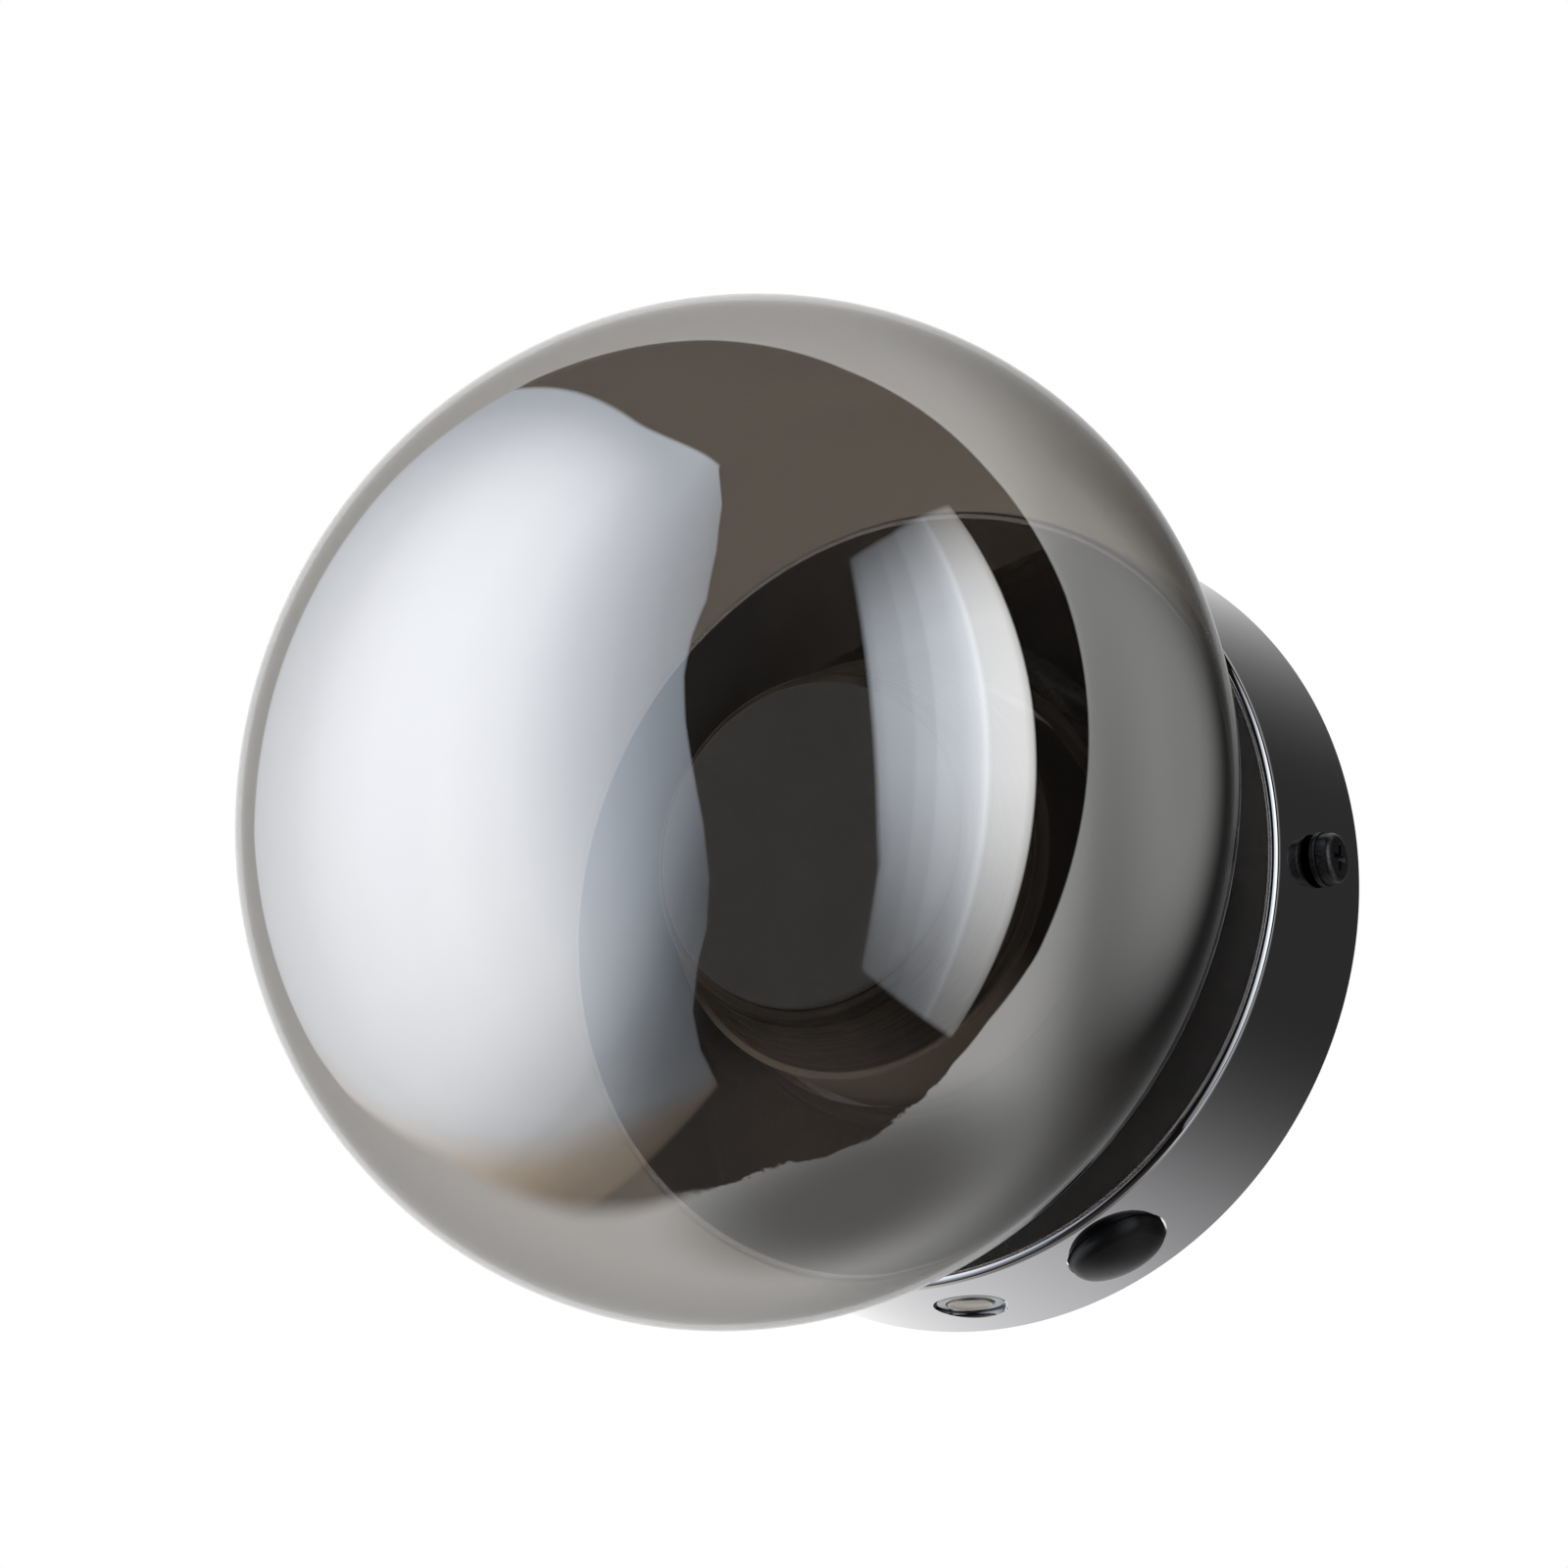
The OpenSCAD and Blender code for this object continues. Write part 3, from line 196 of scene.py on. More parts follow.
def left_soft_box(tree, direction):
    """The big soft box at the left: a white glow in a cooler cloth, with a wavy edge and a fading foot."""
    across, up = box_plane(tree, direction, LEFT_BOX)
    bow = add(tree, "ShaderNodeMapRange", {0: across, 1: 0.0, 2: 1.5, 3: 1.0, 4: 1.3},
              interpolation_type="SMOOTHSTEP")
    straight = add(tree, "ShaderNodeMath", {0: up, 1: bow}, operation="DIVIDE")
    slant = add(tree, "ShaderNodeMapRange", {0: across, 1: 0.2, 2: 1.8, 3: 0.0, 4: 1.05})
    foot = add(tree, "ShaderNodeMath", {0: up, 1: slant}, operation="SUBTRACT")
    edge = fade(tree, up, [(-2.8, 0.575), (-2.0, 0.563), (-1.6, 0.61), (-1.3, 0.735), (-1.14, 0.84),
                           (-0.8, 0.91), (-0.4, 0.905), (-0.1, 0.865), (0.3, 0.805), (0.6, 0.785),
                           (0.9, 0.81), (1.3, 0.88), (1.9, 0.885), (2.6, 0.82), (3.1, 0.66)])
    inside = add(tree, "ShaderNodeMath", {0: edge, 1: -2.0, 2: across}, operation="MULTIPLY_ADD")
    sill = add(tree, "ShaderNodeMath", {0: across, 1: 0.33, 2: up}, operation="MULTIPLY_ADD")
    edges = faded(tree, fade(tree, straight, [(-4.5, 1), (2.42, 1), (2.5, 0)]),
                  fade(tree, sill, [(-2.6, 0), (-2.46, 0.8), (-2.3, 1), (4.0, 1)]),
                  fade(tree, across, [(-4.0, 0), (-3.4, 1), (2.0, 1)]),
                  fade(tree, inside, [(-0.4, 1), (-0.02, 1), (0.02, 0)]))
    cloth = faded(tree, CLOTH, edges,
                  fade(tree, across, [(-2.2, 1.12), (-0.6, 1), (0.7, 1), (1.0, 0.97), (1.3, 0.76),
                                      (1.76, 0.5)]),
                  fade(tree, foot, [(-4.0, 0.19), (-2.6, 0.22), (-2.2, 0.25), (-1.9, 0.31), (-1.6, 0.46),
                                    (-1.3, 0.72), (-1.1, 0.86), (-0.8, 0.95), (0, 1.0), (1.0, 1.0)]))
    glow = faded(tree, GLOW, edges,
                 fade(tree, across, [(-3.0, 0.2), (-1.4, 0.6), (-0.8, 0.7), (-0.5, 0.88), (-0.2, 1),
                                     (0.1, 1), (0.4, 0.82), (0.7, 0.38), (1.0, 0.08), (1.3, 0)]),
                 fade(tree, up, [(-1.5, 0), (-1.2, 0.05), (-0.9, 0.33), (-0.6, 0.66), (-0.3, 0.86),
                                 (0, 0.95), (0.3, 1), (0.6, 1), (0.9, 0.94), (1.2, 0.83), (1.5, 0.64),
                                 (1.8, 0.4), (2.1, 0.15), (2.4, 0)]))
    corner = add(tree, "ShaderNodeMath", {0: across, 1: 0.9, 2: up}, operation="MULTIPLY_ADD")
    warmth = fade(tree, corner, [(-2.6, "#cdb59c"), (-2.0, "#d8c6b2"), (-1.4, "#e4ecf6"), (0.5, "#e2eefe")])
    cool = add(tree, "ShaderNodeVectorMath", {0: warmth, "Scale": cloth}, operation="SCALE")
    white = add(tree, "ShaderNodeVectorMath", {0: linear("#fcfbff")[:3], "Scale": glow}, operation="SCALE")
    return add(tree, "ShaderNodeVectorMath", {0: cool, 1: white}, operation="ADD")


def right_soft_box(tree, direction):
    """The narrow box at the right: upright strips of uneven brightness."""
    across, up = box_plane(tree, direction, RIGHT_BOX)
    slanted = add(tree, "ShaderNodeMath", {0: up, 1: 0.1, 2: across}, operation="MULTIPLY_ADD")
    strips = fade(tree, slanted, [(-1.12, 0), (-1.07, 0.4), (-1.0, 0.5), (-0.84, 0.54), (-0.82, 0.6),
                                  (-0.68, 0.64), (-0.66, 0.72), (-0.5, 0.8), (-0.46, 0.86), (-0.4, 0.97),
                                  (-0.36, 1.15), (-0.33, 0.92), (-0.14, 0.95), (-0.1, 0.7), (-0.085, 0)])
    height = fade(tree, up, [(-1.22, 0), (-1.17, 0.17), (-1.0, 0.21), (-0.8, 0.29), (-0.6, 0.42),
                             (-0.4, 0.6), (-0.2, 0.8), (0, 0.95), (0.3, 1), (0.6, 0.93), (0.8, 0.74),
                             (1.0, 0.53), (1.2, 0.35), (1.36, 0.22), (1.42, 0)])
    glow = faded(tree, STRIPS, strips, height)
    tone = fade(tree, slanted, [(-1.12, "#e6effb"), (-0.4, "#eef3fb"), (-0.3, "#fbfcff"), (-0.08, "#fdfdfd")])
    return add(tree, "ShaderNodeVectorMath", {0: tone, "Scale": glow}, operation="SCALE")


def shade_off(tree, direction, light, azimuth, elevation, inner, outer, level):
    """A flag that takes light down to a level inside a cone round a direction."""
    a, e = math.radians(azimuth), math.radians(elevation)
    axis = (math.sin(a) * math.cos(e), -math.cos(a) * math.cos(e), math.sin(e))
    along = share_along(tree, direction, axis)
    let_by = add(tree, "ShaderNodeMapRange", {0: along, 1: math.cos(math.radians(outer)),
                                              2: math.cos(math.radians(inner)), 3: 1.0, 4: level},
                 interpolation_type="SMOOTHSTEP")
    return add(tree, "ShaderNodeMath", {0: light, 1: let_by}, operation="MULTIPLY")


def light_the_studio():
    """What glass and chrome mirror, what lights matte surfaces, and the white that the camera sees."""
    world = bpy.data.worlds.new("studio")
    bpy.context.scene.world = world
    world.use_nodes = True
    world.cycles.sampling_method = "NONE"
    tree = world.node_tree
    tree.nodes.clear()
    direction = add(tree, "ShaderNodeTexCoord")
    x, y, z = add(tree, "ShaderNodeSeparateXYZ", {0: direction}).node.outputs
    boxes = add(tree, "ShaderNodeVectorMath", {0: left_soft_box(tree, direction),
                                               1: right_soft_box(tree, direction)}, operation="ADD")
    lamps = add(tree, "ShaderNodeVectorMath", {0: boxes, "Scale": BOX_POWER}, operation="SCALE")
    low = add(tree, "ShaderNodeMapRange", {0: z, 1: -0.72, 2: -0.96, 3: 0.8, 4: 4.4},
              interpolation_type="SMOOTHSTEP")
    walls = add(tree, "ShaderNodeVectorMath", {0: ROOM, "Scale": low}, operation="SCALE")
    room = add(tree, "ShaderNodeVectorMath", {0: lamps, 1: walls}, operation="ADD")

    # White backdrop behind the lamp, which comes further forward at its foot, with a dark flag behind the
    # lamp at the right and another below it
    round_axis = add(tree, "ShaderNodeMath", {0: z, 1: x}, operation="ARCTAN2")
    border = fade(tree, round_axis, [(-3.1416, 0.34), (-3.05, 0.345), (-2.93, 0.32), (-2.8, 0.24),
                                     (-2.63, 0.15), (-2.25, 0.15), (-2.05, 0.1), (-1.87, 0.035),
                                     (-1.6, 0.0), (-1.45, 0.06), (-1.35, 0.116), (-0.77, 0.126),
                                     (-0.52, 0.177), (0, 0.19), (0.63, 0.2), (1.05, 0.17), (1.52, 0.175),
                                     (1.87, 0.22), (2.22, 0.235), (2.44, 0.3), (2.72, 0.325),
                                     (3.1416, 0.34)])
    depth = add(tree, "ShaderNodeMath", {0: y, 1: border}, operation="SUBTRACT")
    creases = add(tree, "ShaderNodeTexNoise", {"Vector": direction, "Scale": 13.0, "Detail": 6.0,
                                               "Roughness": 0.65})
    rumpled = fade(tree, round_axis, [(-3.1416, 0), (-2.0, 0), (-1.75, 0.14), (-1.1, 0.12), (-0.8, 0),
                                      (3.1416, 0)])
    crease = add(tree, "ShaderNodeMath", {0: creases, 1: -0.5}, operation="ADD")
    depth = add(tree, "ShaderNodeMath", {0: crease, 1: rumpled, 2: depth}, operation="MULTIPLY_ADD")
    soft = fade(tree, round_axis, [(-3.1416, 0.008), (-2.95, 0.01), (-2.7, 0.06), (-2.5, 0.11),
                                   (-2.1, 0.085), (-1.9, 0.04), (-1.75, 0.008), (3.1416, 0.008)])
    soft_start = add(tree, "ShaderNodeMath", {0: soft, 1: -1.0}, operation="MULTIPLY")
    share = add(tree, "ShaderNodeMapRange", {0: depth, 1: soft_start, 2: soft},
                interpolation_type="SMOOTHSTEP")
    seam = fade(tree, depth, [(-0.022, 0), (-0.01, 1), (-0.004, 0.3), (0.03, 0)])
    upper = fade(tree, z, [(-1, 0), (0.1, 0), (0.3, 1), (1, 1)])
    backdrop = shade_off(tree, direction, BACKDROP, azimuth=153, elevation=6, inner=16, outer=64,
                         level=0.05)
    backdrop = shade_off(tree, direction, backdrop, azimuth=168, elevation=-68, inner=5, outer=34,
                         level=0.27)
    edge_lit = add(tree, "ShaderNodeMath", {0: faded(tree, seam, upper), 1: 0.5, 2: backdrop},
                   operation="MULTIPLY_ADD")
    around = add(tree, "ShaderNodeMixRGB", {0: share, 1: room, 2: edge_lit})

    # Matte surfaces see a plain level instead, a little brighter from above, and the camera sees white
    path = add(tree, "ShaderNodeLightPath").node.outputs
    matte = add(tree, "ShaderNodeMath", {0: path["Diffuse Depth"], 1: 0.5}, operation="GREATER_THAN")
    plain = add(tree, "ShaderNodeMapRange", {0: z, 1: -1.0, 2: 1.0, 3: DIM, 4: FULL})
    lit_room = add(tree, "ShaderNodeMixRGB", {0: matte, 1: around, 2: plain})
    seen = add(tree, "ShaderNodeMixRGB", {0: path["Is Camera Ray"], 1: lit_room, 2: (1, 1, 1, 1)})
    light = add(tree, "ShaderNodeBackground", {0: seen})
    add(tree, "ShaderNodeOutputWorld", {0: light})


def light_the_rim(glass):
    """A panel behind the lamp at the right that only the globe's glass mirrors, for the rim's even grey."""
    data = bpy.data.lights.new("rim_panel", "AREA")
    data.shape, data.size, data.size_y, data.energy = "RECTANGLE", 1.1, 1.6, 4.6
    data.use_nodes = True
    tree = data.node_tree
    tree.nodes.clear()
    place = add(tree, "ShaderNodeNewGeometry").node.outputs["Parametric"]
    from_middle = add(tree, "ShaderNodeVectorMath", {0: place, 1: (-0.5, -0.5, 0.0)}, operation="ADD")
    flat = add(tree, "ShaderNodeVectorMath", {0: from_middle, 1: (1, 1, 0)}, operation="MULTIPLY")
    away = add(tree, "ShaderNodeVectorMath", {0: flat}, operation="LENGTH").node.outputs["Value"]
    share = add(tree, "ShaderNodeMapRange", {0: away, 1: 0.08, 2: 0.45, 3: 1.0, 4: 0.0},
                interpolation_type="SMOOTHSTEP")
    glow = add(tree, "ShaderNodeEmission", {0: (1, 1, 1, 1), 1: share})
    add(tree, "ShaderNodeOutputLight", {0: glow})
    panel = bpy.data.objects.new("rim_panel", data)
    bpy.context.scene.collection.objects.link(panel)
    a, e, distance, globe_middle = math.radians(133), math.radians(11), 0.75, Vector((0, -0.077, 0))
    towards = Vector((math.sin(a) * math.cos(e), -math.cos(a) * math.cos(e), math.sin(e)))
    turn = towards.to_track_quat("Z", "Y").to_matrix().to_4x4()
    panel.matrix_world = Matrix.Translation(globe_middle + towards * distance) @ turn
    for ray in ("camera", "diffuse", "transmission", "volume_scatter"):
        setattr(panel, "visible_" + ray, False)
    only = bpy.data.collections.new("mirrors_rim_panel")
    only.objects.link(glass)
    panel.light_linking.receiver_collection = only


light_the_studio()


# Making pieces

def finish(name, mesh, body, nodes=(), materials=()):
    """Puts a made mesh in the scene as a piece that rides on a body and stands for the nodes it replaces."""
    piece = bpy.data.objects.new(name, mesh)
    bpy.context.scene.collection.objects.link(piece)
    for material in materials:
        mesh.materials.append(material)
    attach(piece, body)
    if nodes:
        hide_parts(*nodes)
    return piece


def smooth(mesh, sharp):
    """Smooth shading that keeps edges sharper than an angle."""
    mesh.shade_smooth()
    mesh.set_sharp_from_angle(angle=math.radians(sharp))
    return mesh


def arc(centre, radius, start, end, steps):
    """Points of an arc on a profile, from one angle to another in degrees."""
    angles = [math.radians(start + (end - start) * i / steps) for i in range(steps + 1)]
    return [(centre[0] + radius * math.cos(a), centre[1] + radius * math.sin(a)) for a in angles]


def thread(radius, low, high, pitch=0.7, depth=0.2):
    """Profile points of a fine thread, drawn as rings."""
    count = max(1, round((high - low) / pitch))
    step = (high - low) / count
    return [point for i in range(count) for point in ((radius, low + (i + 0.15) * step),
                                                      (radius - depth, low + (i + 0.6) * step))]


def skin(name, rings, axis, sharp=35, second_from=None, marks=None):
    """A closed mesh over a loop of rings of points, which keep their marks for turned finishes to follow."""
    mesh = bpy.data.meshes.new(name)
    bm = bmesh.new()
    layer = bm.verts.layers.float_vector.new("lathe")
    rows = []
    for k, ring in enumerate(rings):
        pole = all((Vector(point) - Vector(ring[0])).length < 1e-6 for point in ring)
        row = [bm.verts.new(ring[0])] * len(ring) if pole else [bm.verts.new(point) for point in ring]
        for vert in row:
            vert[layer] = (*marks[k], 0) if marks else (0, 0, 0)
        rows.append(row)
    for k, row in enumerate(rows):
        after = rows[(k + 1) % len(rows)]
        for i in range(len(row)):
            j = (i + 1) % len(row)
            corners = list(dict.fromkeys((row[i], row[j], after[j], after[i])))
            if len(corners) > 2:
                face = bm.faces.new(corners)
                face.material_index = 1 if second_from is not None and k >= second_from else 0
    bmesh.ops.recalc_face_normals(bm, faces=bm.faces)
    bm.transform(axis)
    bm.to_mesh(mesh)
    bm.free()
    return smooth(mesh, sharp)


def turned(name, profile, axis, segments=128, sharp=35, second_from=None):
    """A turned mesh from a closed profile round an axis; from one point on it takes the second material."""
    angles = [2 * math.pi * i / segments for i in range(segments)]
    turns = [(math.cos(a), math.sin(a)) for a in angles]
    rings = [[(r * c, r * s, z) for c, s in turns] for r, z in profile]
    return skin(name, rings, axis, sharp, second_from, profile)


def hex_nut(name, width, bore, low, high, axis=Matrix()):
    """A six-sided nut with turned chamfers and a threaded bore; a corner points along local x."""
    angles = [math.radians(10 * i) for i in range(36)]
    corners = [width / 2 / math.cos(a % math.radians(60) - math.radians(30)) for a in angles]
    drop = [(corner - width / 2) * 0.6 for corner in corners]
    flat = width / 2 * 0.97
    loop = [([bore + 0.2] * 36, [low] * 36), ([flat] * 36, [low] * 36), (corners, [low + d for d in drop]),
            (corners, [high - d for d in drop]), ([flat] * 36, [high] * 36), ([bore + 0.2] * 36, [high] * 36)]
    bore_thread = thread(bore + 0.15, low + 0.15, high - 0.15, 0.7, 0.15)
    loop += [([r] * 36, [z] * 36) for r, z in reversed(bore_thread)]
    rings = [[(r * math.cos(a), r * math.sin(a), z) for r, z, a in zip(*sides, angles)] for sides in loop]
    return skin(name, rings, axis)


def prism(bm, low, high):
    """A closed solid between two outlines with as many points each."""
    low, high = [[bm.verts.new(point) for point in outline] for outline in (low, high)]
    bm.faces.new(reversed(low))
    bm.faces.new(high)
    for i in range(len(low)):
        j = (i + 1) % len(low)
        bm.faces.new((low[i], low[j], high[j], high[i]))


def as_mesh(name, bm):
    """A mesh from what was built, with its faces outwards."""
    bmesh.ops.recalc_face_normals(bm, faces=bm.faces)
    mesh = bpy.data.meshes.new(name)
    bm.to_mesh(mesh)
    bm.free()
    return mesh


def worked(name, mesh, kind, **settings):
    """The plain mesh that one modifier makes from another, its settings given by name or by socket."""
    item = bpy.data.objects.new(name, mesh)
    bpy.context.scene.collection.objects.link(item)
    modifier = item.modifiers.new("work", kind)
    if "node_group" in settings:
        modifier.node_group = settings.pop("node_group")
        for socket in modifier.node_group.interface.items_tree:
            if socket.in_out == "INPUT" and socket.name in settings:
                modifier[socket.identifier] = settings[socket.name]
    else:
        for key, value in settings.items():
            setattr(modifier, key, value)
    made = bpy.data.meshes.new_from_object(item.evaluated_get(bpy.context.evaluated_depsgraph_get()))
    bpy.data.objects.remove(item)
    made.name = name
    return made


def cut(mesh, tool_mesh):
    """A mesh with another one cut out of it."""
    tool = bpy.data.objects.new("tool", tool_mesh)
    bpy.context.scene.collection.objects.link(tool)
    made = worked(mesh.name, mesh, "BOOLEAN", object=tool, solver="EXACT", operation="DIFFERENCE")
    bpy.data.objects.remove(tool)
    return made


def joined(name, *meshes):
    """One mesh from several that share a material."""
    bm = bmesh.new()
    for mesh in meshes:
        bm.from_mesh(mesh)
    made = bpy.data.meshes.new(name)
    bm.to_mesh(made)
    bm.free()
    for material in meshes[0].materials:
        made.materials.append(material)
    return made


# Geometry Nodes trees

def new_tree(name, sizes):
    """A geometry tree that takes a base mesh, named sizes and a material, and what it is given."""
    tree = bpy.data.node_groups.new(name, "GeometryNodeTree")
    for label, kind in (("Geometry", "Geometry"), *sizes, ("Material", "Material")):
        tree.interface.new_socket(label, in_out="INPUT", socket_type="NodeSocket" + kind)
    tree.interface.new_socket("Geometry", in_out="OUTPUT", socket_type="NodeSocketGeometry")
    return tree, add(tree, "NodeGroupInput").node.outputs


def end_tree(tree, geometry, material):
    """Every tree ends in plain mesh with its material."""
    real = add(tree, "GeometryNodeRealizeInstances", {0: geometry})
    done = add(tree, "GeometryNodeSetMaterial", {"Geometry": real, "Material": material})
    add(tree, "NodeGroupOutput", {0: done})
    return tree


def ring_tree():
    """Copies of a piece on a ring round local z, each turned with its place."""
    tree, given = new_tree("copies_on_a_ring", (("Radius", "Float"), ("Count", "Int"),
                                                ("First Angle", "Float")))
    spots = add(tree, "GeometryNodeMeshLine", {"Count": given["Count"]})
    step = add(tree, "ShaderNodeMath", {0: 2 * math.pi, 1: given["Count"]}, operation="DIVIDE")
    index = add(tree, "GeometryNodeInputIndex")
    angle = add(tree, "ShaderNodeMath", {0: index, 1: step, 2: given["First Angle"]},
                operation="MULTIPLY_ADD")
    turn = add(tree, "ShaderNodeCombineXYZ", {2: angle})
    out = add(tree, "ShaderNodeCombineXYZ", {0: given["Radius"]})
    place = add(tree, "ShaderNodeVectorRotate", {"Vector": out, "Rotation": turn}, rotation_type="EULER_XYZ")
    ring = add(tree, "GeometryNodeSetPosition", {"Geometry": spots, "Position": place})
    copies = add(tree, "GeometryNodeInstanceOnPoints", {"Points": ring, "Instance": given["Geometry"],
                                                        "Rotation": turn})
    return end_tree(tree, copies, given["Material"])


def tube_tree():
    """A round sheath along the path that the base mesh's edges draw, with its round place for stripes."""
    tree, given = new_tree("tube_along_a_path", (("Radius", "Float"), ("Step", "Float")))
    path = add(tree, "GeometryNodeMeshToCurve", {"Mesh": given["Geometry"]})
    curve = add(tree, "GeometryNodeCurveSplineType", {"Curve": path}, spline_type="CATMULL_ROM")
    fine = add(tree, "GeometryNodeResampleCurve", {"Curve": curve, "Length": given["Step"]}, mode="LENGTH")
    circle = add(tree, "GeometryNodeCurvePrimitiveCircle", {"Resolution": 16, "Radius": given["Radius"]})
    place = add(tree, "GeometryNodeInputPosition")
    around = add(tree, "GeometryNodeStoreNamedAttribute",
                 {"Geometry": circle, "Name": "around", "Value": place},
                 data_type="FLOAT_VECTOR", domain="POINT")
    tube = add(tree, "GeometryNodeCurveToMesh", {"Curve": fine, "Profile Curve": around, "Fill Caps": True})
    return end_tree(tree, tube, given["Material"])


def coil_tree():
    """A wound spring along local z with closed, flat end turns."""
    tree, given = new_tree("wound_spring", (("Radius", "Float"), ("Wire", "Float"), ("Turns", "Float"),
                                            ("Length", "Float")))
    coil = add(tree, "GeometryNodeCurveSpiral",
               {"Resolution": 28, "Rotations": given["Turns"], "Start Radius": given["Radius"],
                "End Radius": given["Radius"], "Height": given["Length"]})
    along = add(tree, "GeometryNodeSplineParameter")
    end = add(tree, "ShaderNodeMath", {0: 0.6, 1: given["Turns"]}, operation="DIVIDE")
    other = add(tree, "ShaderNodeMath", {0: 1.0, 1: end}, operation="SUBTRACT")
    top = add(tree, "ShaderNodeMath", {0: given["Length"], 1: given["Wire"]}, operation="SUBTRACT")
    rise = add(tree, "ShaderNodeMapRange", {0: along, 1: end, 2: other, 3: given["Wire"], 4: top})
    x, y, z = add(tree, "ShaderNodeSeparateXYZ", {0: add(tree, "GeometryNodeInputPosition")}).node.outputs
    place = add(tree, "ShaderNodeCombineXYZ", {0: x, 1: y, 2: rise})
    wound = add(tree, "GeometryNodeSetPosition", {"Geometry": coil, "Position": place})
    circle = add(tree, "GeometryNodeCurvePrimitiveCircle", {"Resolution": 10, "Radius": given["Wire"]})
    wire = add(tree, "GeometryNodeCurveToMesh", {"Curve": wound, "Profile Curve": circle, "Fill Caps": True})
    return end_tree(tree, wire, given["Material"])


RING, TUBE, COIL = ring_tree(), tube_tree(), coil_tree()


def ring_of(name, mesh, radius, count, first, material):
    """Copies of a mesh on a ring, in millimetres round the wall axis."""
    return worked(name, mesh, "NODES", node_group=RING, Radius=float(radius), Count=count,
                  **{"First Angle": math.radians(first)}, Material=material)


# Finishes

def surface(name, colour, roughness, **sockets):
    """A new material with its shader, its node tree and the piece's coordinates in millimetres."""
    material = bpy.data.materials.new(name)
    material.use_nodes = True
    tree = material.node_tree
    tree.nodes.clear()
    inputs = {"Base Color": linear(colour), "Roughness": roughness}
    inputs.update({key.replace("_", " "): value for key, value in sockets.items()})
    shader = add(tree, "ShaderNodeBsdfPrincipled", inputs).node
    add(tree, "ShaderNodeOutputMaterial", {0: shader.outputs[0]})
    place = add(tree, "ShaderNodeTexCoord").node.outputs["Object"]
    mm = add(tree, "ShaderNodeVectorMath", {0: place, "Scale": 1000.0}, operation="SCALE")
    return material, tree, shader, mm


def dress(tree, shader, height, strength, depth, colour=None, roughness=None):
    """Gives a shader its relief, from a height field and a depth in millimetres, colour and roughness."""
    relief = add(tree, "ShaderNodeBump", {"Height": height, "Strength": strength, "Distance": depth * MM})
    for socket, value in (("Normal", relief), ("Base Color", colour), ("Roughness", roughness)):
        if value:
            tree.links.new(value, shader.inputs[socket])


def black_chrome():
    """Spun steel with a black chrome plating: a dark mirror with the faintest waviness from the spinning."""
    material, tree, shader, mm = surface("black_chrome_plate", "#9b9b9d", 0.03, Metallic=1.0)
    haze = add(tree, "ShaderNodeTexNoise", {"Vector": mm, "Scale": 0.35, "Detail": 4.0})
    spread = add(tree, "ShaderNodeMapRange", {0: haze, 1: 0.35, 2: 0.7, 3: 0.02, 4: 0.05})
    wave = add(tree, "ShaderNodeTexNoise", {"Vector": mm, "Scale": 0.05, "Detail": 1.0})
    dress(tree, shader, wave, 0.05, 0.5, roughness=spread)
    return material


def coated_glass(name, colour, metallic):
    """Blown glass with a half-mirror coat: it passes some light to what is inside, and mirrors the room.

    Its IOR is matched to the photograph and lies below that of real glass, which is about 1.5."""
    material, tree, shader, mm = surface(name, colour, 0.0, Metallic=metallic, Transmission_Weight=1.0,
                                         IOR=1.1, Specular_Tint=linear("#a0a0a0"))
    ripple = add(tree, "ShaderNodeTexNoise", {"Vector": mm, "Scale": 0.02, "Detail": 2.0})
    dress(tree, shader, ripple, 0.04, 0.6)
    path = add(tree, "ShaderNodeLightPath").node.outputs
    soft = add(tree, "ShaderNodeMath", {0: path["Is Shadow Ray"], 1: path["Is Diffuse Ray"]},
               operation="MAXIMUM")
    clear = add(tree, "ShaderNodeBsdfTransparent", {0: linear("#c1bfbc")})
    mixed = add(tree, "ShaderNodeMixShader", {0: soft, 1: shader.outputs[0], 2: clear})
    output = next(node for node in tree.nodes if node.type == "OUTPUT_MATERIAL")
    tree.links.new(mixed, output.inputs[0])
    return material


def textured(name, dark, light, roughness, grain, bump, **sockets):
    """A finish that drifts between two colours, with a grain whose size and height are in millimetres."""
    material, tree, shader, mm = surface(name, light, roughness[0], **sockets)
    fine = add(tree, "ShaderNodeTexNoise", {"Vector": mm, "Scale": 1 / grain, "Detail": 3.0})
    broad = add(tree, "ShaderNodeTexNoise", {"Vector": mm, "Scale": 0.09, "Detail": 2.0})
    share = add(tree, "ShaderNodeMixRGB", {0: 0.45, 1: broad, 2: fine})
    tint = add(tree, "ShaderNodeValToRGB", {0: share}, stops=[(0.38, dark), (0.62, light)])
    spread = add(tree, "ShaderNodeMapRange", {0: share, 1: 0.35, 2: 0.65, 3: roughness[0], 4: roughness[1]})
    dress(tree, shader, fine, 1.0, bump, tint, spread)
    return material


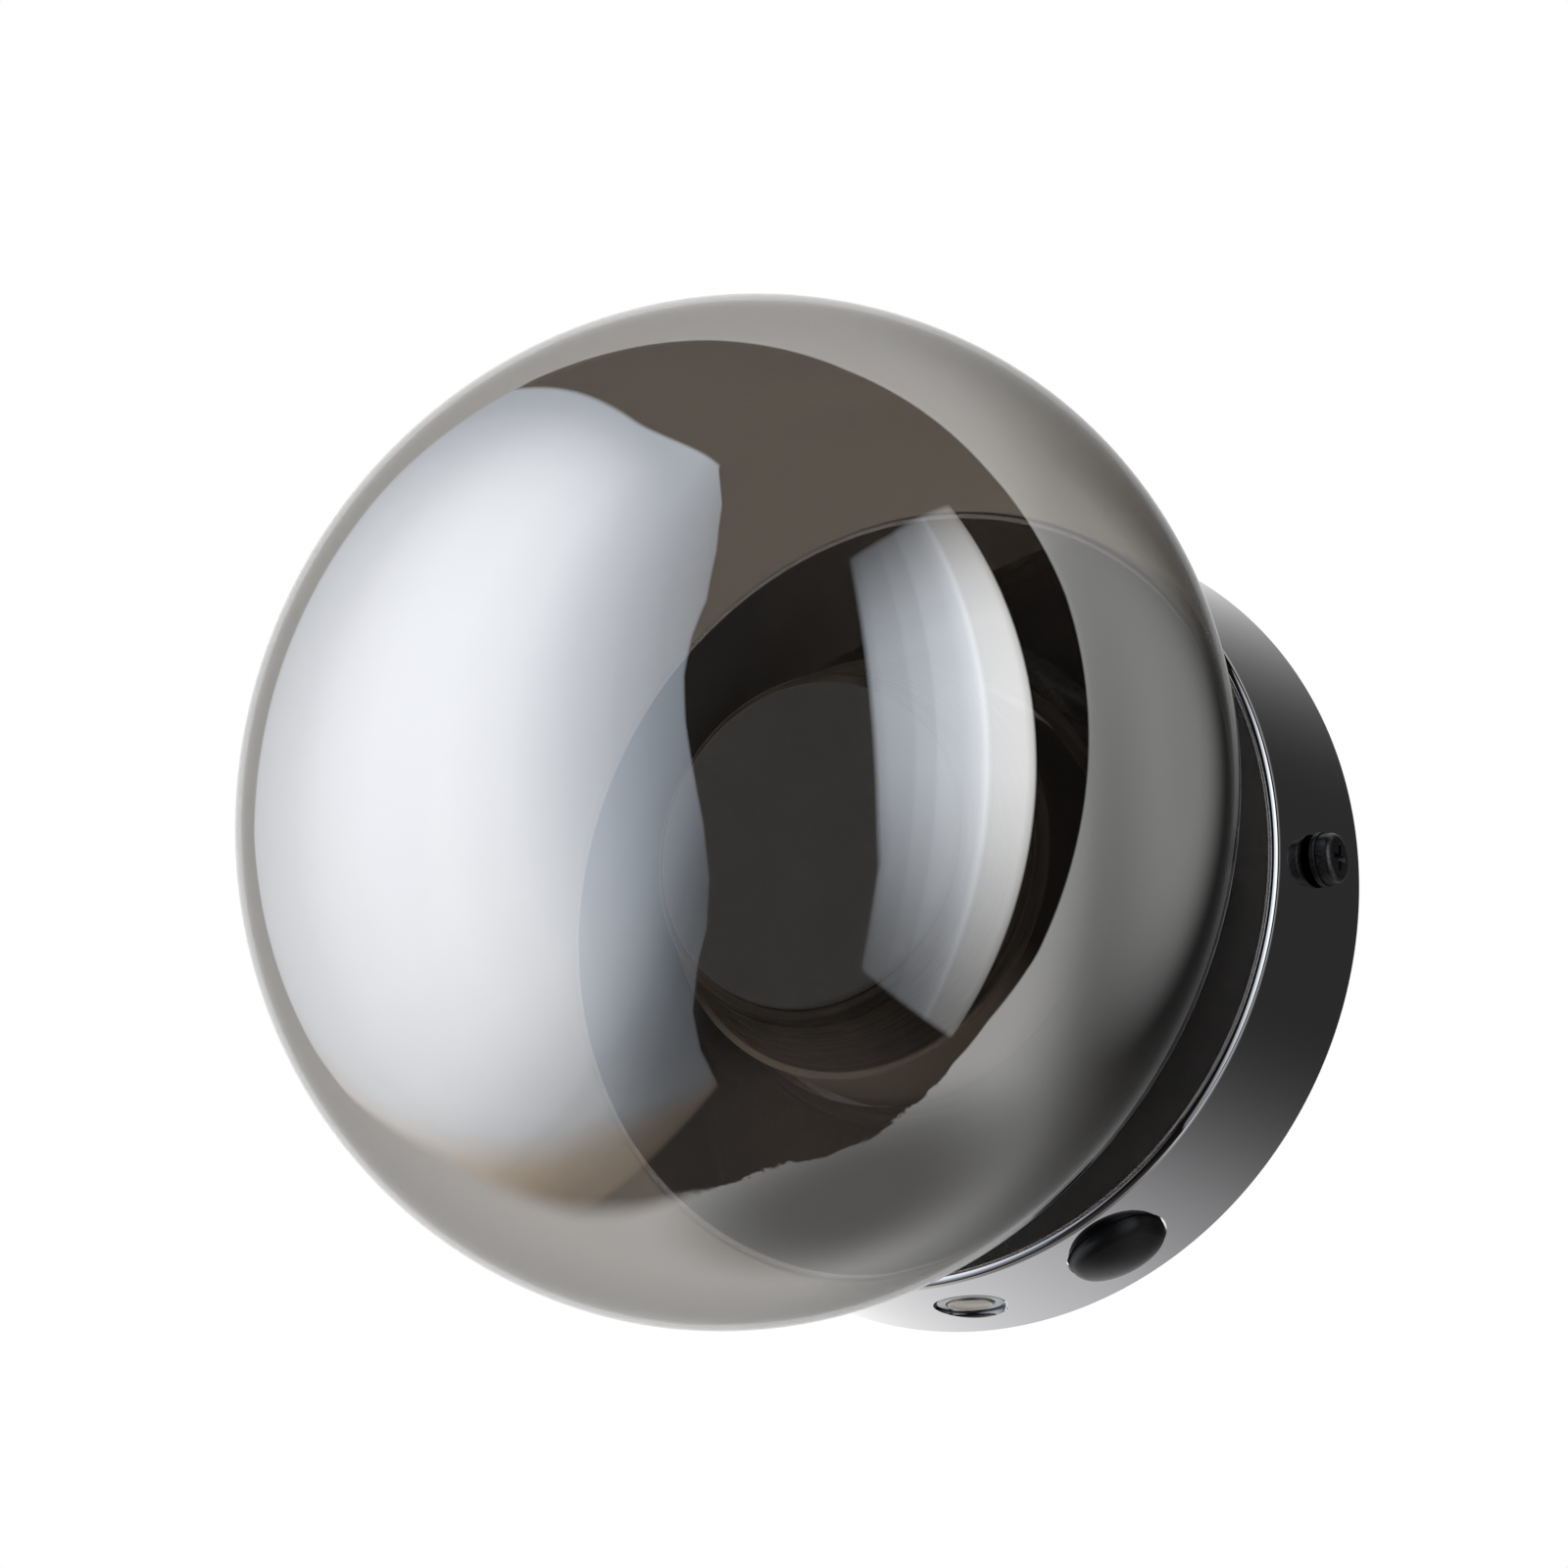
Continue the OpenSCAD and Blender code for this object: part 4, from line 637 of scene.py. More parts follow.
def lathe_turned(name, dark, light, roughness, line, bump, wall=None, **sockets):
    """Metal turned on a lathe, with lines round its axis that are spaced in millimetres.

    A wall may be given two tones by its height in the room, dark above and pale below. The pale tone is a
    painted highlight that is not in the metal."""
    material, tree, shader, mm = surface(name, light, roughness[0], **sockets)
    place = add(tree, "ShaderNodeAttribute", attribute_name="lathe").node.outputs["Vector"]
    lines = add(tree, "ShaderNodeTexNoise", {"Vector": place, "Scale": 1 / line, "Detail": 4.0,
                                             "Roughness": 0.7})
    broad = add(tree, "ShaderNodeTexNoise", {"Vector": mm, "Scale": 0.12, "Detail": 2.0})
    share = add(tree, "ShaderNodeMixRGB", {0: 0.7, 1: broad, 2: lines})
    tint = add(tree, "ShaderNodeValToRGB", {0: share}, stops=[(0.38, dark), (0.62, light)])
    if wall:
        # Painted highlight: the drum's wall turns pale towards its foot by its height in the room, in place
        # of a gleam
        top = add(tree, "ShaderNodeSeparateXYZ", {0: place}).node.outputs[1]
        on_wall = add(tree, "ShaderNodeMapRange", {0: top, 1: WALL_TOP + 0.4, 2: WALL_TOP - 0.6})
        height = add(tree, "ShaderNodeSeparateXYZ", {0: mm}).node.outputs[2]
        painted_gleam_share = add(tree, "ShaderNodeMapRange", {0: height, 1: PAINTED_GLEAM_START_HEIGHT, 2: PAINTED_GLEAM_FULL_HEIGHT},
                    interpolation_type="SMOOTHSTEP")
        tone = add(tree, "ShaderNodeMixRGB", {0: painted_gleam_share, 1: linear(wall[0]), 2: linear(wall[1])})
        tint = add(tree, "ShaderNodeMixRGB", {0: on_wall, 1: tint, 2: tone})
    spread = add(tree, "ShaderNodeMapRange", {0: share, 1: 0.35, 2: 0.65, 3: roughness[0], 4: roughness[1]})
    dress(tree, shader, lines, 1.0, bump, tint, spread)
    return material


def striped_sheath():
    """PVC insulation of an earth lead: green, with two yellow stripes along it."""
    material, tree, shader, mm = surface("pvc_sheath_green_yellow", "#3f8f3c", 0.42)
    place = add(tree, "ShaderNodeAttribute", attribute_name="around").node.outputs["Vector"]
    side = add(tree, "ShaderNodeSeparateXYZ", {0: place})
    square = add(tree, "ShaderNodeMath", {0: side, 1: side}, operation="MULTIPLY")
    stripe = add(tree, "ShaderNodeMapRange", {0: square, 1: 0.58, 2: 0.66})
    drift = add(tree, "ShaderNodeTexNoise", {"Vector": mm, "Scale": 0.3, "Detail": 2.0})
    green = add(tree, "ShaderNodeValToRGB", {0: drift}, stops=[(0.3, "#2f7d33"), (0.7, "#47993f")])
    tint = add(tree, "ShaderNodeMixRGB", {0: stripe, 1: green, 2: linear("#e0c630")})
    dress(tree, shader, drift, 0.4, 0.03, tint)
    return material


def light_emitting():
    """A chip: a white moulded ceramic cup filled with yellow phosphor gel, whose tone drifts."""
    material, tree, shader, mm = surface("ceramic_and_phosphor", "#eeece6", 0.35)
    gel = add(tree, "ShaderNodeAttribute", attribute_name="phosphor").node.outputs["Fac"]
    drift = add(tree, "ShaderNodeTexNoise", {"Vector": mm, "Scale": 0.8, "Detail": 3.0})
    yellow = add(tree, "ShaderNodeValToRGB", {0: drift}, stops=[(0.3, "#dcae2c"), (0.7, "#efcb55")])
    tint = add(tree, "ShaderNodeMixRGB", {0: gel, 1: linear("#eeece6"), 2: yellow})
    dress(tree, shader, drift, 0.5, 0.04, tint)
    return material


def circuit_board():
    """Glass-fibre board under a green solder mask, and the dark sleeves and cans of what stands on it."""
    material, tree, shader, mm = surface("fibre_board_green", "#1f5a38", 0.35)
    height = add(tree, "ShaderNodeSeparateXYZ", {0: mm}).node.outputs[1]
    stands = add(tree, "ShaderNodeMapRange", {0: height, 1: -8.1, 2: -8.3})
    weave = add(tree, "ShaderNodeTexNoise", {"Vector": mm, "Scale": 1.6, "Detail": 3.0})
    mask = add(tree, "ShaderNodeValToRGB", {0: weave}, stops=[(0.35, "#1a4f31"), (0.65, "#246742")])
    sleeve = add(tree, "ShaderNodeValToRGB", {0: weave}, stops=[(0.35, "#17181a"), (0.65, "#232427")])
    tint = add(tree, "ShaderNodeMixRGB", {0: stands, 1: mask, 2: sleeve})
    dress(tree, shader, weave, 0.6, 0.03, tint)
    return material


def cellular_foam():
    """Cut polyether foam: matte black with open cells about 0.6 mm across, a soft dark grain."""
    material, tree, shader, mm = surface("cut_foam", "#1c1c1d", 0.95)
    cells = add(tree, "ShaderNodeTexVoronoi", {"Vector": mm, "Scale": 1.6})
    tint = add(tree, "ShaderNodeValToRGB", {0: cells}, stops=[(0.1, "#0c0c0d"), (0.5, "#29292b")])
    dress(tree, shader, cells, 1.0, 0.2, tint)
    return material


# Grains of moulded plastic, sheath and paint are really 0.05 to 0.1 mm, and drawn coarser so that they show
FINISHES = {
    # Spun steel, black chrome plated: a dark mirror
    "black_chrome": black_chrome(),
    # Stove enamel on pressed steel: deep black, glossy, with orange peel
    "black_enamel": textured("stove_enamel_black", "#0a0a0b", "#131314", (0.2, 0.32), 0.8, 0.012),
    # Black oxide bath on steel screws: a dull blue-black that turns brown where it is thin
    "black_oxide_steel": textured("black_oxide_steel", "#2b2b2e", "#454344", (0.3, 0.45), 0.4, 0.01,
                                  Metallic=1.0),
    # Zinc plating on pressed and turned steel: bluish silver, with cloudy spots from the bath
    "zinc_steel": textured("zinc_plated_steel", "#adb2b8", "#d0d2d5", (0.32, 0.46), 0.6, 0.003,
                           Metallic=0.85),
    # Turned stainless steel: fine lines round the axis
    "satin_steel": lathe_turned("turned_stainless_steel", "#5d5e61", "#8d8e91", (0.22, 0.36), 0.25, 0.006,
                                Metallic=1.0),
    # Drawn spring wire: grey, with faint draw marks along it
    "spring_steel": textured("drawn_spring_wire", "#8b8c90", "#b9babd", (0.24, 0.36), 0.3, 0.006,
                             Metallic=1.0),
    # Anodised aluminium cap with a spun top: pale champagne, its gloss broken by rings
    "champagne_metal": lathe_turned("anodised_aluminium_champagne", "#726d65", "#9b948a", (0.3, 0.42), 0.22,
                                    0.008, Metallic=1.0),
    # Turned and stamped brass: yellow, with a brown bloom of tarnish
    "brass": textured("turned_brass", "#a07c3c", "#d3b066", (0.24, 0.4), 0.5, 0.008, Metallic=1.0),
    # Moulded rubber: near black with a fine bloom and a soft gloss
    "black_rubber": textured("moulded_rubber", "#060607", "#0c0c0d", (0.3, 0.4), 0.35, 0.008,
                             Specular_IOR_Level=0.12),
    "black_foam": cellular_foam(),
    # Turned aluminium, dark from its bath, with brownish rings on the cone. The pale lower tone of its wall
    # isn't in the metal: it stands in for the gleam on the drum's foot in the photograph
    "turned_aluminium": lathe_turned("turned_aluminium_dark_with_painted_gleam", "#2e2a27", "#6f6862", (0.26, 0.42), 0.45, 0.02,
                                     wall=("#37322e", "#efe4d7"), Metallic=0.4),
    # White solder mask on an aluminium core board: slightly speckled
    "white_board": textured("white_solder_mask", "#e1e1dd", "#f0f0ec", (0.4, 0.5), 0.5, 0.006),
    "led_phosphor": light_emitting(),
    # Opal polycarbonate, moulded: even and milky. Grey and not white: painted shade, darkened and cooled to
    # how it shows behind the smoke glass
    "opal_diffuser": textured("opal_polycarbonate_painted_shade", "#92979f", "#9b9fa9", (0.42, 0.52), 0.6, 0.006),
    # Moulded ABS and nylon: warm white with a spark-eroded grain
    "white_plastic": textured("moulded_abs_white", "#dedcd7", "#ebeae6", (0.4, 0.52), 0.4, 0.012),
    # Moulded phenolic of the switch: black, semi-gloss
    "black_plastic": textured("moulded_phenolic_black", "#131314", "#1f1f21", (0.3, 0.45), 0.4, 0.01),
    "green_board": circuit_board(),
    # PVC insulation on leads: a soft gloss, faintly uneven from the extruder
    "brown_wire": textured("pvc_sheath_brown", "#4a2d1b", "#65402a", (0.38, 0.48), 0.9, 0.02),
    "black_wire": textured("pvc_sheath_black", "#131314", "#1f1f20", (0.38, 0.48), 0.9, 0.02),
    "blue_wire": textured("pvc_sheath_blue", "#24508c", "#3263a6", (0.38, 0.48), 0.9, 0.02),
    "green_wire": striped_sheath(),
    "white_wire": textured("pvc_sheath_white", "#dcdbd6", "#ebeae6", (0.38, 0.48), 0.9, 0.02)}

# Satin black paint on the pan's front, under the glass, with fine orange peel
PAINT = textured("satin_black_paint", "#0b0b0c", "#121213", (0.2, 0.26), 0.9, 0.002)


def pale_floor():
    """Matte paper that fades to white away from the lamp."""
    material, tree, shader, mm = surface("studio_paper", "#f3f2f0", 0.9)
    grain = add(tree, "ShaderNodeTexNoise", {"Vector": mm, "Scale": 0.8, "Detail": 3.0})
    dress(tree, shader, grain, 0.1, 0.5)
    flat = add(tree, "ShaderNodeVectorMath", {0: mm, 1: (1, 1, 0)}, operation="MULTIPLY")
    away = add(tree, "ShaderNodeVectorMath", {0: flat}, operation="LENGTH").node.outputs["Value"]
    share = add(tree, "ShaderNodeMapRange", {0: away, 1: 300.0, 2: 1100.0}, interpolation_type="SMOOTHSTEP")
    white = add(tree, "ShaderNodeEmission", {0: (1, 1, 1, 1)})
    mixed = add(tree, "ShaderNodeMixShader", {0: share, 1: shader.outputs[0], 2: white})
    output = next(node for node in tree.nodes if node.type == "OUTPUT_MATERIAL")
    tree.links.new(mixed, output.inputs[0])
    return material


def lay_floor():
    """Pale paper so far below the lamp that a view from below is still taken from above it."""
    bm = bmesh.new()
    bmesh.ops.create_grid(bm, x_segments=2, y_segments=2, size=3.0)
    bmesh.ops.translate(bm, vec=(0, 0, -1.3), verts=bm.verts)
    mesh = as_mesh("floor", bm)
    mesh.materials.append(pale_floor())
    floor = bpy.data.objects.new("floor", mesh)
    bpy.context.scene.collection.objects.link(floor)
    floor.visible_glossy = False
    floor.visible_transmission = False


lay_floor()


# Canopy

def pan_outline(inset):
    """Half outline of the spun pan from its foot to its front, moved inwards by an inset."""
    edge = max(1.5 - inset, 0.3)
    top = DEPTH - inset
    side = FOOT_R - TAPER * (top - edge) / DEPTH - (inset + edge) / math.cos(LEAN)
    curve = arc((side, top - edge), edge, math.degrees(LEAN), 90, 14)
    return [(FOOT_R - inset / math.cos(LEAN), 0), (curve[0][0] + 0.01, curve[0][1] - 0.2), *curve,
            (side - 0.25, top)]


def make_canopy():
    """The spun pan: holes in its side, three bayonet entries in its mouth, black paint on its face."""
    profile = [*pan_outline(0), (MOUTH_R, DEPTH), (MOUTH_R, DEPTH - SHEET), *reversed(pan_outline(SHEET))]
    mesh = turned("canopy_shell", profile, WALL_AXIS, 360)
    cutter = bmesh.new()
    for angle, radius in ((0, SCREW_HOLE_R), (180, SCREW_HOLE_R), (SWITCH_ANGLE, SWITCH_HOLE_R),
                          (BUTTON_ANGLE, BUTTON_HOLE_R)):
        made = bmesh.ops.create_cone(cutter, cap_ends=True, segments=96, radius1=radius, radius2=radius,
                                     depth=8)
        bmesh.ops.transform(cutter, matrix=side_axis(angle) @ Matrix.Translation((0, 0, SIDE_R)),
                            verts=made["verts"])
    for angle in ENTRY_ANGLES:
        sector = [(0, 0), *arc((0, 0), ENTRY_R, angle - ENTRY_HALF, angle + ENTRY_HALF, 24)]
        prism(cutter, *[[WALL_AXIS @ Vector((x, y, z)) for x, y in sector]
                        for z in (DEPTH - SHEET - 0.5, DEPTH + 0.5)])
    made = smooth(cut(mesh, as_mesh("canopy_tool", cutter)), 30)
    for face in made.polygons:
        if face.normal.y < -0.999 and face.center.y < -(DEPTH - 0.5) * MM:
            face.material_index = 1
    finish("canopy_shell", made, "root", ["canopy"], [FINISHES["black_chrome"], PAINT])


make_canopy()


# Globe

def globe_outline(inset):
    """Half outline of the globe from its front pole to its rear pole, moved inwards by an inset."""
    points = []
    for half, bend, sign in ((FRONT_HALF, FRONT_BEND, 1), (REAR_HALF, REAR_BEND, -1)):
        a, c, b = GLOBE_R - inset, half - inset, bend - inset
        crown = ((a - b) ** 2 + c * c - b * b) / (2 * (c - b))
        centre = c - crown
        lean = 90 - math.degrees(math.atan2(a - b, -centre))
        part = [*arc((0, centre), crown, 90, lean, 26)[:-1], *arc((a - b, 0), b, lean, 0, 46)]
        if sign < 0:
            part = [(r, -z) for r, z in reversed(part[:-1])]
        points += part
    return [(max(r, 0.0), GLOBE_MIDDLE + z) for r, z in points]


def bulb(inset, bore):
    """The outline of the glass, without the points where the neck goes on."""
    return [(r, z) for r, z in globe_outline(inset) if z > GLOBE_MIDDLE - 7 or r > bore]


def make_globe():
    """The blown glass, thin at its widest, its half-mirror coat outside; the neck ends in a rounded lip."""
    outer, inner = bulb(0, NECK_R + 0.4), bulb(GLASS, NECK_IN_R + 2.0)
    neck = [(NECK_R, NECK_JOIN), (NECK_R, NECK_END + NECK_LIP),
            *arc((NECK_R - NECK_LIP, NECK_END + NECK_LIP), NECK_LIP, 0, -90, 8)[1:]]
    profile = [*outer, *neck, (NECK_IN_R, NECK_END), (NECK_IN_R, NECK_JOIN + 2.0), *reversed(inner)]
    mesh = turned("globe_glass", profile, WALL_AXIS, 224, 60, len(outer) + len(neck) - 1)
    film = coated_glass("half_mirror_coat", "#cacac9", 0.36)
    smoke = coated_glass("smoke_glass", "#9b9186", 0.0)
    return finish("globe_glass", mesh, "globe", ["glass_globe"], [film, smoke])


light_the_rim(make_globe())


# Lamp module

def drum_outline():
    """Half outline of the drum: a wall with a round edge, a ringed cone, and what is hollowed out."""
    edge, groove_r, grooves = 0.5, 0.35, 6
    rise = CONE_TOP - WALL_TOP
    slope = Vector((CONE_TOP_R - CONE_R, rise)).normalized()
    inwards = Vector((-slope.y, slope.x))
    profile = [(DRUM_R, DRUM_FOOT), (DRUM_R, WALL_TOP - edge),
               *arc((DRUM_R - edge, WALL_TOP - edge), edge, 0, 90, 4), (CONE_R, WALL_TOP)]
    for i in range(1, grooves + 1):
        share = i / (grooves + 1)
        centre = Vector((CONE_R + (CONE_TOP_R - CONE_R) * share, WALL_TOP + rise * share))
        for k in range(9):
            a = math.radians(22.5 * k)
            profile.append(tuple(centre + groove_r * (math.sin(a) * inwards - math.cos(a) * slope)))
    return profile + [(CONE_TOP_R + edge, CONE_TOP - edge), (CONE_TOP_R, CONE_TOP),
                      (COVER_R + 0.2, CONE_TOP), (COVER_R + 0.2, COVER_SEAT), (CHAMBER_R, COVER_SEAT),
                      (CHAMBER_R, BOARD_SEAT), (LEAD_WAY_R, BOARD_SEAT), (LEAD_WAY_R, DRUM_FOOT),
                      (HUB_R, DRUM_FOOT), (HUB_R, POCKET_TOP), (POCKET_R, POCKET_TOP),
                      (POCKET_R, DRUM_FOOT)]


def make_drum():
    """The turned heat sink, with sixteen cast fins and three screw bosses in its open back."""
    metal, sunk = FINISHES["turned_aluminium"], 0.4
    body = turned("drum_body", drum_outline(), Matrix(), 192)
    body.materials.append(metal)
    fin = bmesh.new()
    foot, root = [[(HUB_R - sunk, -w), (POCKET_R + 0.6, -w), (POCKET_R + 0.6, w), (HUB_R - sunk, w)]
                  for w in (0.6, 0.8)]
    prism(fin, [(x, y, DRUM_FOOT) for x, y in foot], [(x, y, POCKET_TOP + sunk) for x, y in root])
    fins = ring_of("drum_fins", as_mesh("fin", fin), 0, 16, 0, metal)
    boss = turned("boss", [(BOSS_R, DRUM_FOOT), (BOSS_R, POCKET_TOP + sunk), (M3_WAY_R, POCKET_TOP + sunk),
                           (M3_WAY_R, DRUM_FOOT)], Matrix(), 32)
    bosses = ring_of("drum_bosses", boss, BOSS_RING, 3, 30, metal)
    mesh = joined("drum", body, fins, bosses)
    mesh.transform(WALL_AXIS)
    finish("drum", smooth(mesh, 30), "root", ["heat_sink_drum"])


def make_opal_cover():
    """The milky cover: a flat face with a rounded rim, and a skirt that clips into the drum."""
    face, rim, edge = 57.3, 0.6, 0.2
    skirt_in, skirt_out, skirt_foot = 21.9, 23.3, 50.3
    mesh = turned("opal_cover", [(0, COVER_SEAT), (skirt_in, COVER_SEAT), (skirt_in, skirt_foot + edge),
                                 (skirt_in + edge, skirt_foot), (skirt_out - edge, skirt_foot),
                                 (skirt_out, skirt_foot + edge), (skirt_out, COVER_SEAT),
                                 (COVER_R - edge, COVER_SEAT), (COVER_R, COVER_SEAT + edge),
                                 (COVER_R, face - rim), *arc((COVER_R - rim, face - rim), rim, 0, 90, 8)[1:],
                                 (0, face)], WALL_AXIS, 128)
    finish("opal_cover", mesh, "root", ["diffuser"], [FINISHES["opal_diffuser"]])


def make_chips():
    """Fourteen chips in two rings, each a ceramic cup with a sunk window of phosphor."""
    bm = bmesh.new()
    gel = bm.faces.layers.float.new("phosphor")
    outline = [(sx * 1.4, sy * 1.75) for sx, sy in ((-1, -1), (1, -1), (1, 1), (-1, 1))]
    rings = [[bm.verts.new((x * share, y * share, BOARD_TOP + rise)) for x, y in outline]
             for share, rise in ((1, 0), (1, 0.7), (0.96, 0.8), (0.8, 0.8), (0.74, 0.68))]
    bm.faces.new(reversed(rings[0]))
    for low, high in zip(rings, rings[1:]):
        for i in range(4):
            j = (i + 1) % 4
            bm.faces.new((low[i], low[j], high[j], high[i]))
    window = bm.faces.new(rings[-1])
    window[gel] = 1.0
    chip = as_mesh("chip", bm)
    material = FINISHES["led_phosphor"]
    mesh = joined("chips", ring_of("outer", chip, 18, 10, 18, material),
                  ring_of("inner", chip.copy(), 7, 4, 45, material))
    mesh.transform(WALL_AXIS)
    finish("chips", mesh, "root", ["led_chips"])


make_drum()
make_opal_cover()
make_chips()


# Screws, nuts and spacers

def pan_screw(length, radius, head_r, head_h, place=Matrix()):
    """A pan-head screw with a cross recess, its seat at z = 0 before it is put in place."""
    edge = 0.45 * head_h
    profile = [(0, -length), (radius * 0.6, -length), (radius - 0.2, -length + 0.4),
               *thread(radius, -length + 0.4, -0.3), (radius, 0), (head_r - 0.1, 0), (head_r, 0.1),
               *arc((head_r - edge, head_h - edge), edge, 0, 90, 6), (0, head_h)]
    tool = bmesh.new()
    outlines = []
    for share, z in ((0.6, head_h * 0.5), (1, head_h + 0.2)):
        a, w = 0.55 * head_r * share, 0.12 * head_r * share
        cross = ((a, -w), (a, w), (w, w), (w, a), (-w, a), (-w, w), (-a, w), (-a, -w), (-w, -w), (-w, -a),
                 (w, -a), (w, -w))
        outlines.append([(x, y, z) for x, y in cross])
    prism(tool, *outlines)
    made = cut(turned("pan_screw", profile, Matrix(), 40), as_mesh("recess", tool))
    made.transform(place)
    return made


def turned_to_room(z, x=0, y=0):
    """Where a screw driven from the wall's side sits: its head under z, its shank towards the room."""
    return Matrix.Translation((x, y, z)) @ Matrix.Rotation(math.pi, 4, "X")


def facing_room(z):
    """Where a screw driven from the room's side sits: its head over z."""
    return Matrix.Translation((0, 0, z))


# Each kind of screw: its radius, head radius and head height
M4_SIDE, M4_EARTH, M3, BLOCK = (2.0, 3.8, 2.3), (2.0, 3.2, 2.0), (1.5, 2.7, 2.0), (1.2, 2.1, 2.0)
SIDE_SCREW = Matrix.Translation((SIDE_SEAT_R, 0, SIDE_Z)) @ Matrix.Rotation(math.pi / 2, 4, "Y")

# Piece, shape, its ring (radius, count, first angle), finish and node
for name, mesh, ring, slot, node in (
        ("side_screw_pair", pan_screw(9.64, *M4_SIDE, SIDE_SCREW), (0, 2, 0), "black_oxide_steel",
         "side_screws"),
        ("plate_screw_set", pan_screw(4.4, *M3, turned_to_room(PLATE_BACK)), (SPACER_RING, 3, 90),
         "zinc_steel", "plate_screws"),
        ("drum_screw_set", pan_screw(8.8, *M3, turned_to_room(PLATE_BACK)), (BOSS_RING, 3, 30),
         "zinc_steel", "drum_screws"),
        ("board_screw_pair", pan_screw(4.6, *M3, facing_room(BOARD_TOP)), (13, 2, 45), "zinc_steel",
         "board_screws"),
        ("earth_clamp_screw", pan_screw(3.0, *M4_EARTH, facing_room(3.3)), (15.2, 1, 180), "brass",
         "earth_screw"),
        ("block_screw", pan_screw(8.7, *BLOCK, turned_to_room(10.5, -14.75, -22.5)), (0, 1, 0), "zinc_steel",
         "terminal_screw"),
        ("hex_spacers", hex_nut("spacer", 5.5, M3_WAY_R, DRUM_FOOT, DEPTH - SHEET), (SPACER_RING, 3, 90),
         "zinc_steel", "spacers")):
    mesh = ring_of(name, mesh, *ring, FINISHES[slot])
    mesh.transform(WALL_AXIS)
    finish(name, smooth(mesh, 35), "root", [node])

for name, width, bore, angle in (("switch_nut", 12, 5.1, SWITCH_ANGLE),
                                 ("button_nut", 10.5, 4.5, BUTTON_ANGLE)):
    mesh = hex_nut(name + "_hex", width, bore, NUT_FOOT, NUT_FOOT + NUT_HEIGHT, side_axis(angle))
    finish(name + "_hex", mesh, "root", [name], [FINISHES["zinc_steel"]])


# Push switch and button: heights are distances from the lamp's middle along the part's own axis

def make_rubber_cap():
    """The switch's cap: a shallow dome that rolls over a soft lip, and a stepped foot round the plunger."""
    r, top, dome, lip, edge = 7.6, 64.2, 2.2, 2.4, 0.3
    socket_r, socket_top, foot_r, foot, step = 3.25, 57.5, 5.6, 53.0, 55.6
    dome_r = (r ** 2 + dome ** 2) / (2 * dome)
    lip_z = top - dome_r + math.sqrt((dome_r - lip) ** 2 - (r - lip) ** 2)
    meet = math.degrees(math.asin((lip_z - top + dome_r) / (dome_r - lip)))
    mesh = turned("rubber_cap", [(0, socket_top), (socket_r, socket_top), (socket_r, step), (foot_r, step),
                                 (foot_r, foot), (r - edge, foot), (r, foot + edge),
                                 *arc((r - lip, lip_z), lip, 0, meet, 10),
                                 *arc((0, top - dome_r), dome_r, meet, 90, 14)],
                  side_axis(SWITCH_ANGLE), 96, 50)
    finish("rubber_cap", mesh, "push_switch", ["switch_cap"], [FINISHES["black_rubber"]])


def make_switch_case():
    """The switch's moulded case with its threaded bush, hollow for the spring and the plunger."""
    case_r, bush_r, well_r, bore, edge = 5.8, 5.0, 4.5, 3.3, 0.2
    foot, well_foot, well_top, shoulder, top = 27, 29, 44, 46, 52
    mesh = turned("switch_case", [(0, foot), (case_r - 0.3, foot), (case_r, foot + 0.3),
                                  (case_r, shoulder - edge), (case_r - edge, shoulder), (bush_r, shoulder),
                                  *thread(bush_r, shoulder + edge, top - 2 * edge), (bush_r - edge, top),
                                  (bore, top), (bore, well_top), (well_r, well_top), (well_r, well_foot),
                                  (0, well_foot)], side_axis(SWITCH_ANGLE), 72)
    finish("switch_case", mesh, "root", ["switch_body"], [FINISHES["black_plastic"]])


def make_button_bush():
    """The button's steel bush: threaded, with a flat bezel outside and a bore for the stud."""
    case_r, bush_r, bezel_r, well_r, stem_way_r, bore = 5.0, 4.4, 5.2, 3.4, 1.5, 3.6
    foot, well_foot, well_top, shoulder, seat, bezel, top = 33, 35, 44, 46, 52.2, 58.9, 60.5
    edge, rounding = 0.2, 0.4
    mesh = turned("button_bush", [(0, foot), (case_r - edge, foot), (case_r, foot + edge),
                                  (case_r, shoulder - edge), (case_r - edge, shoulder), (bush_r, shoulder),
                                  *thread(bush_r, shoulder + edge, bezel - 0.3), (bush_r, bezel),
                                  (bezel_r - 0.1, bezel), (bezel_r, bezel + 0.1), (bezel_r, top - rounding),
                                  *arc((bezel_r - rounding, top - rounding), rounding, 0, 90, 6)[1:],
                                  (bore + 0.15, top), (bore, top - 0.15), (bore, seat), (stem_way_r, seat),
                                  (stem_way_r, well_top), (well_r, well_top), (well_r, well_foot),
                                  (0, well_foot)], side_axis(BUTTON_ANGLE), 96)
    finish("button_bush", mesh, "root", ["button_body"], [FINISHES["satin_steel"]])


def make_button_stud():
    """The button's cap with a dished face, on a stem with a stop disc."""
    stem_r, disc_r, face_r, dish_r, edge = 1.4, 2.4, 3.5, 2.8, 0.1
    disc, disc_top, cap_back, face = 42.95, 43.95, 59.2, 60.8
    mesh = turned("button_stud", [(0, disc), (disc_r - edge, disc), (disc_r, disc + edge),
                                  (disc_r, disc_top - edge), (disc_r - edge, disc_top), (stem_r, disc_top),
                                  (stem_r, cap_back), (face_r - edge, cap_back), (face_r, cap_back + edge),
                                  (face_r, face - 0.2), (face_r - 0.2, face), (dish_r + 0.2, face),
                                  (dish_r, face - 0.12), (0, face - 0.06)], side_axis(BUTTON_ANGLE), 96)
    finish("button_stud", mesh, "dim_button", ["button_cap"],
           [FINISHES["champagne_metal"]])


make_rubber_cap()
make_switch_case()
make_button_bush()
make_button_stud()

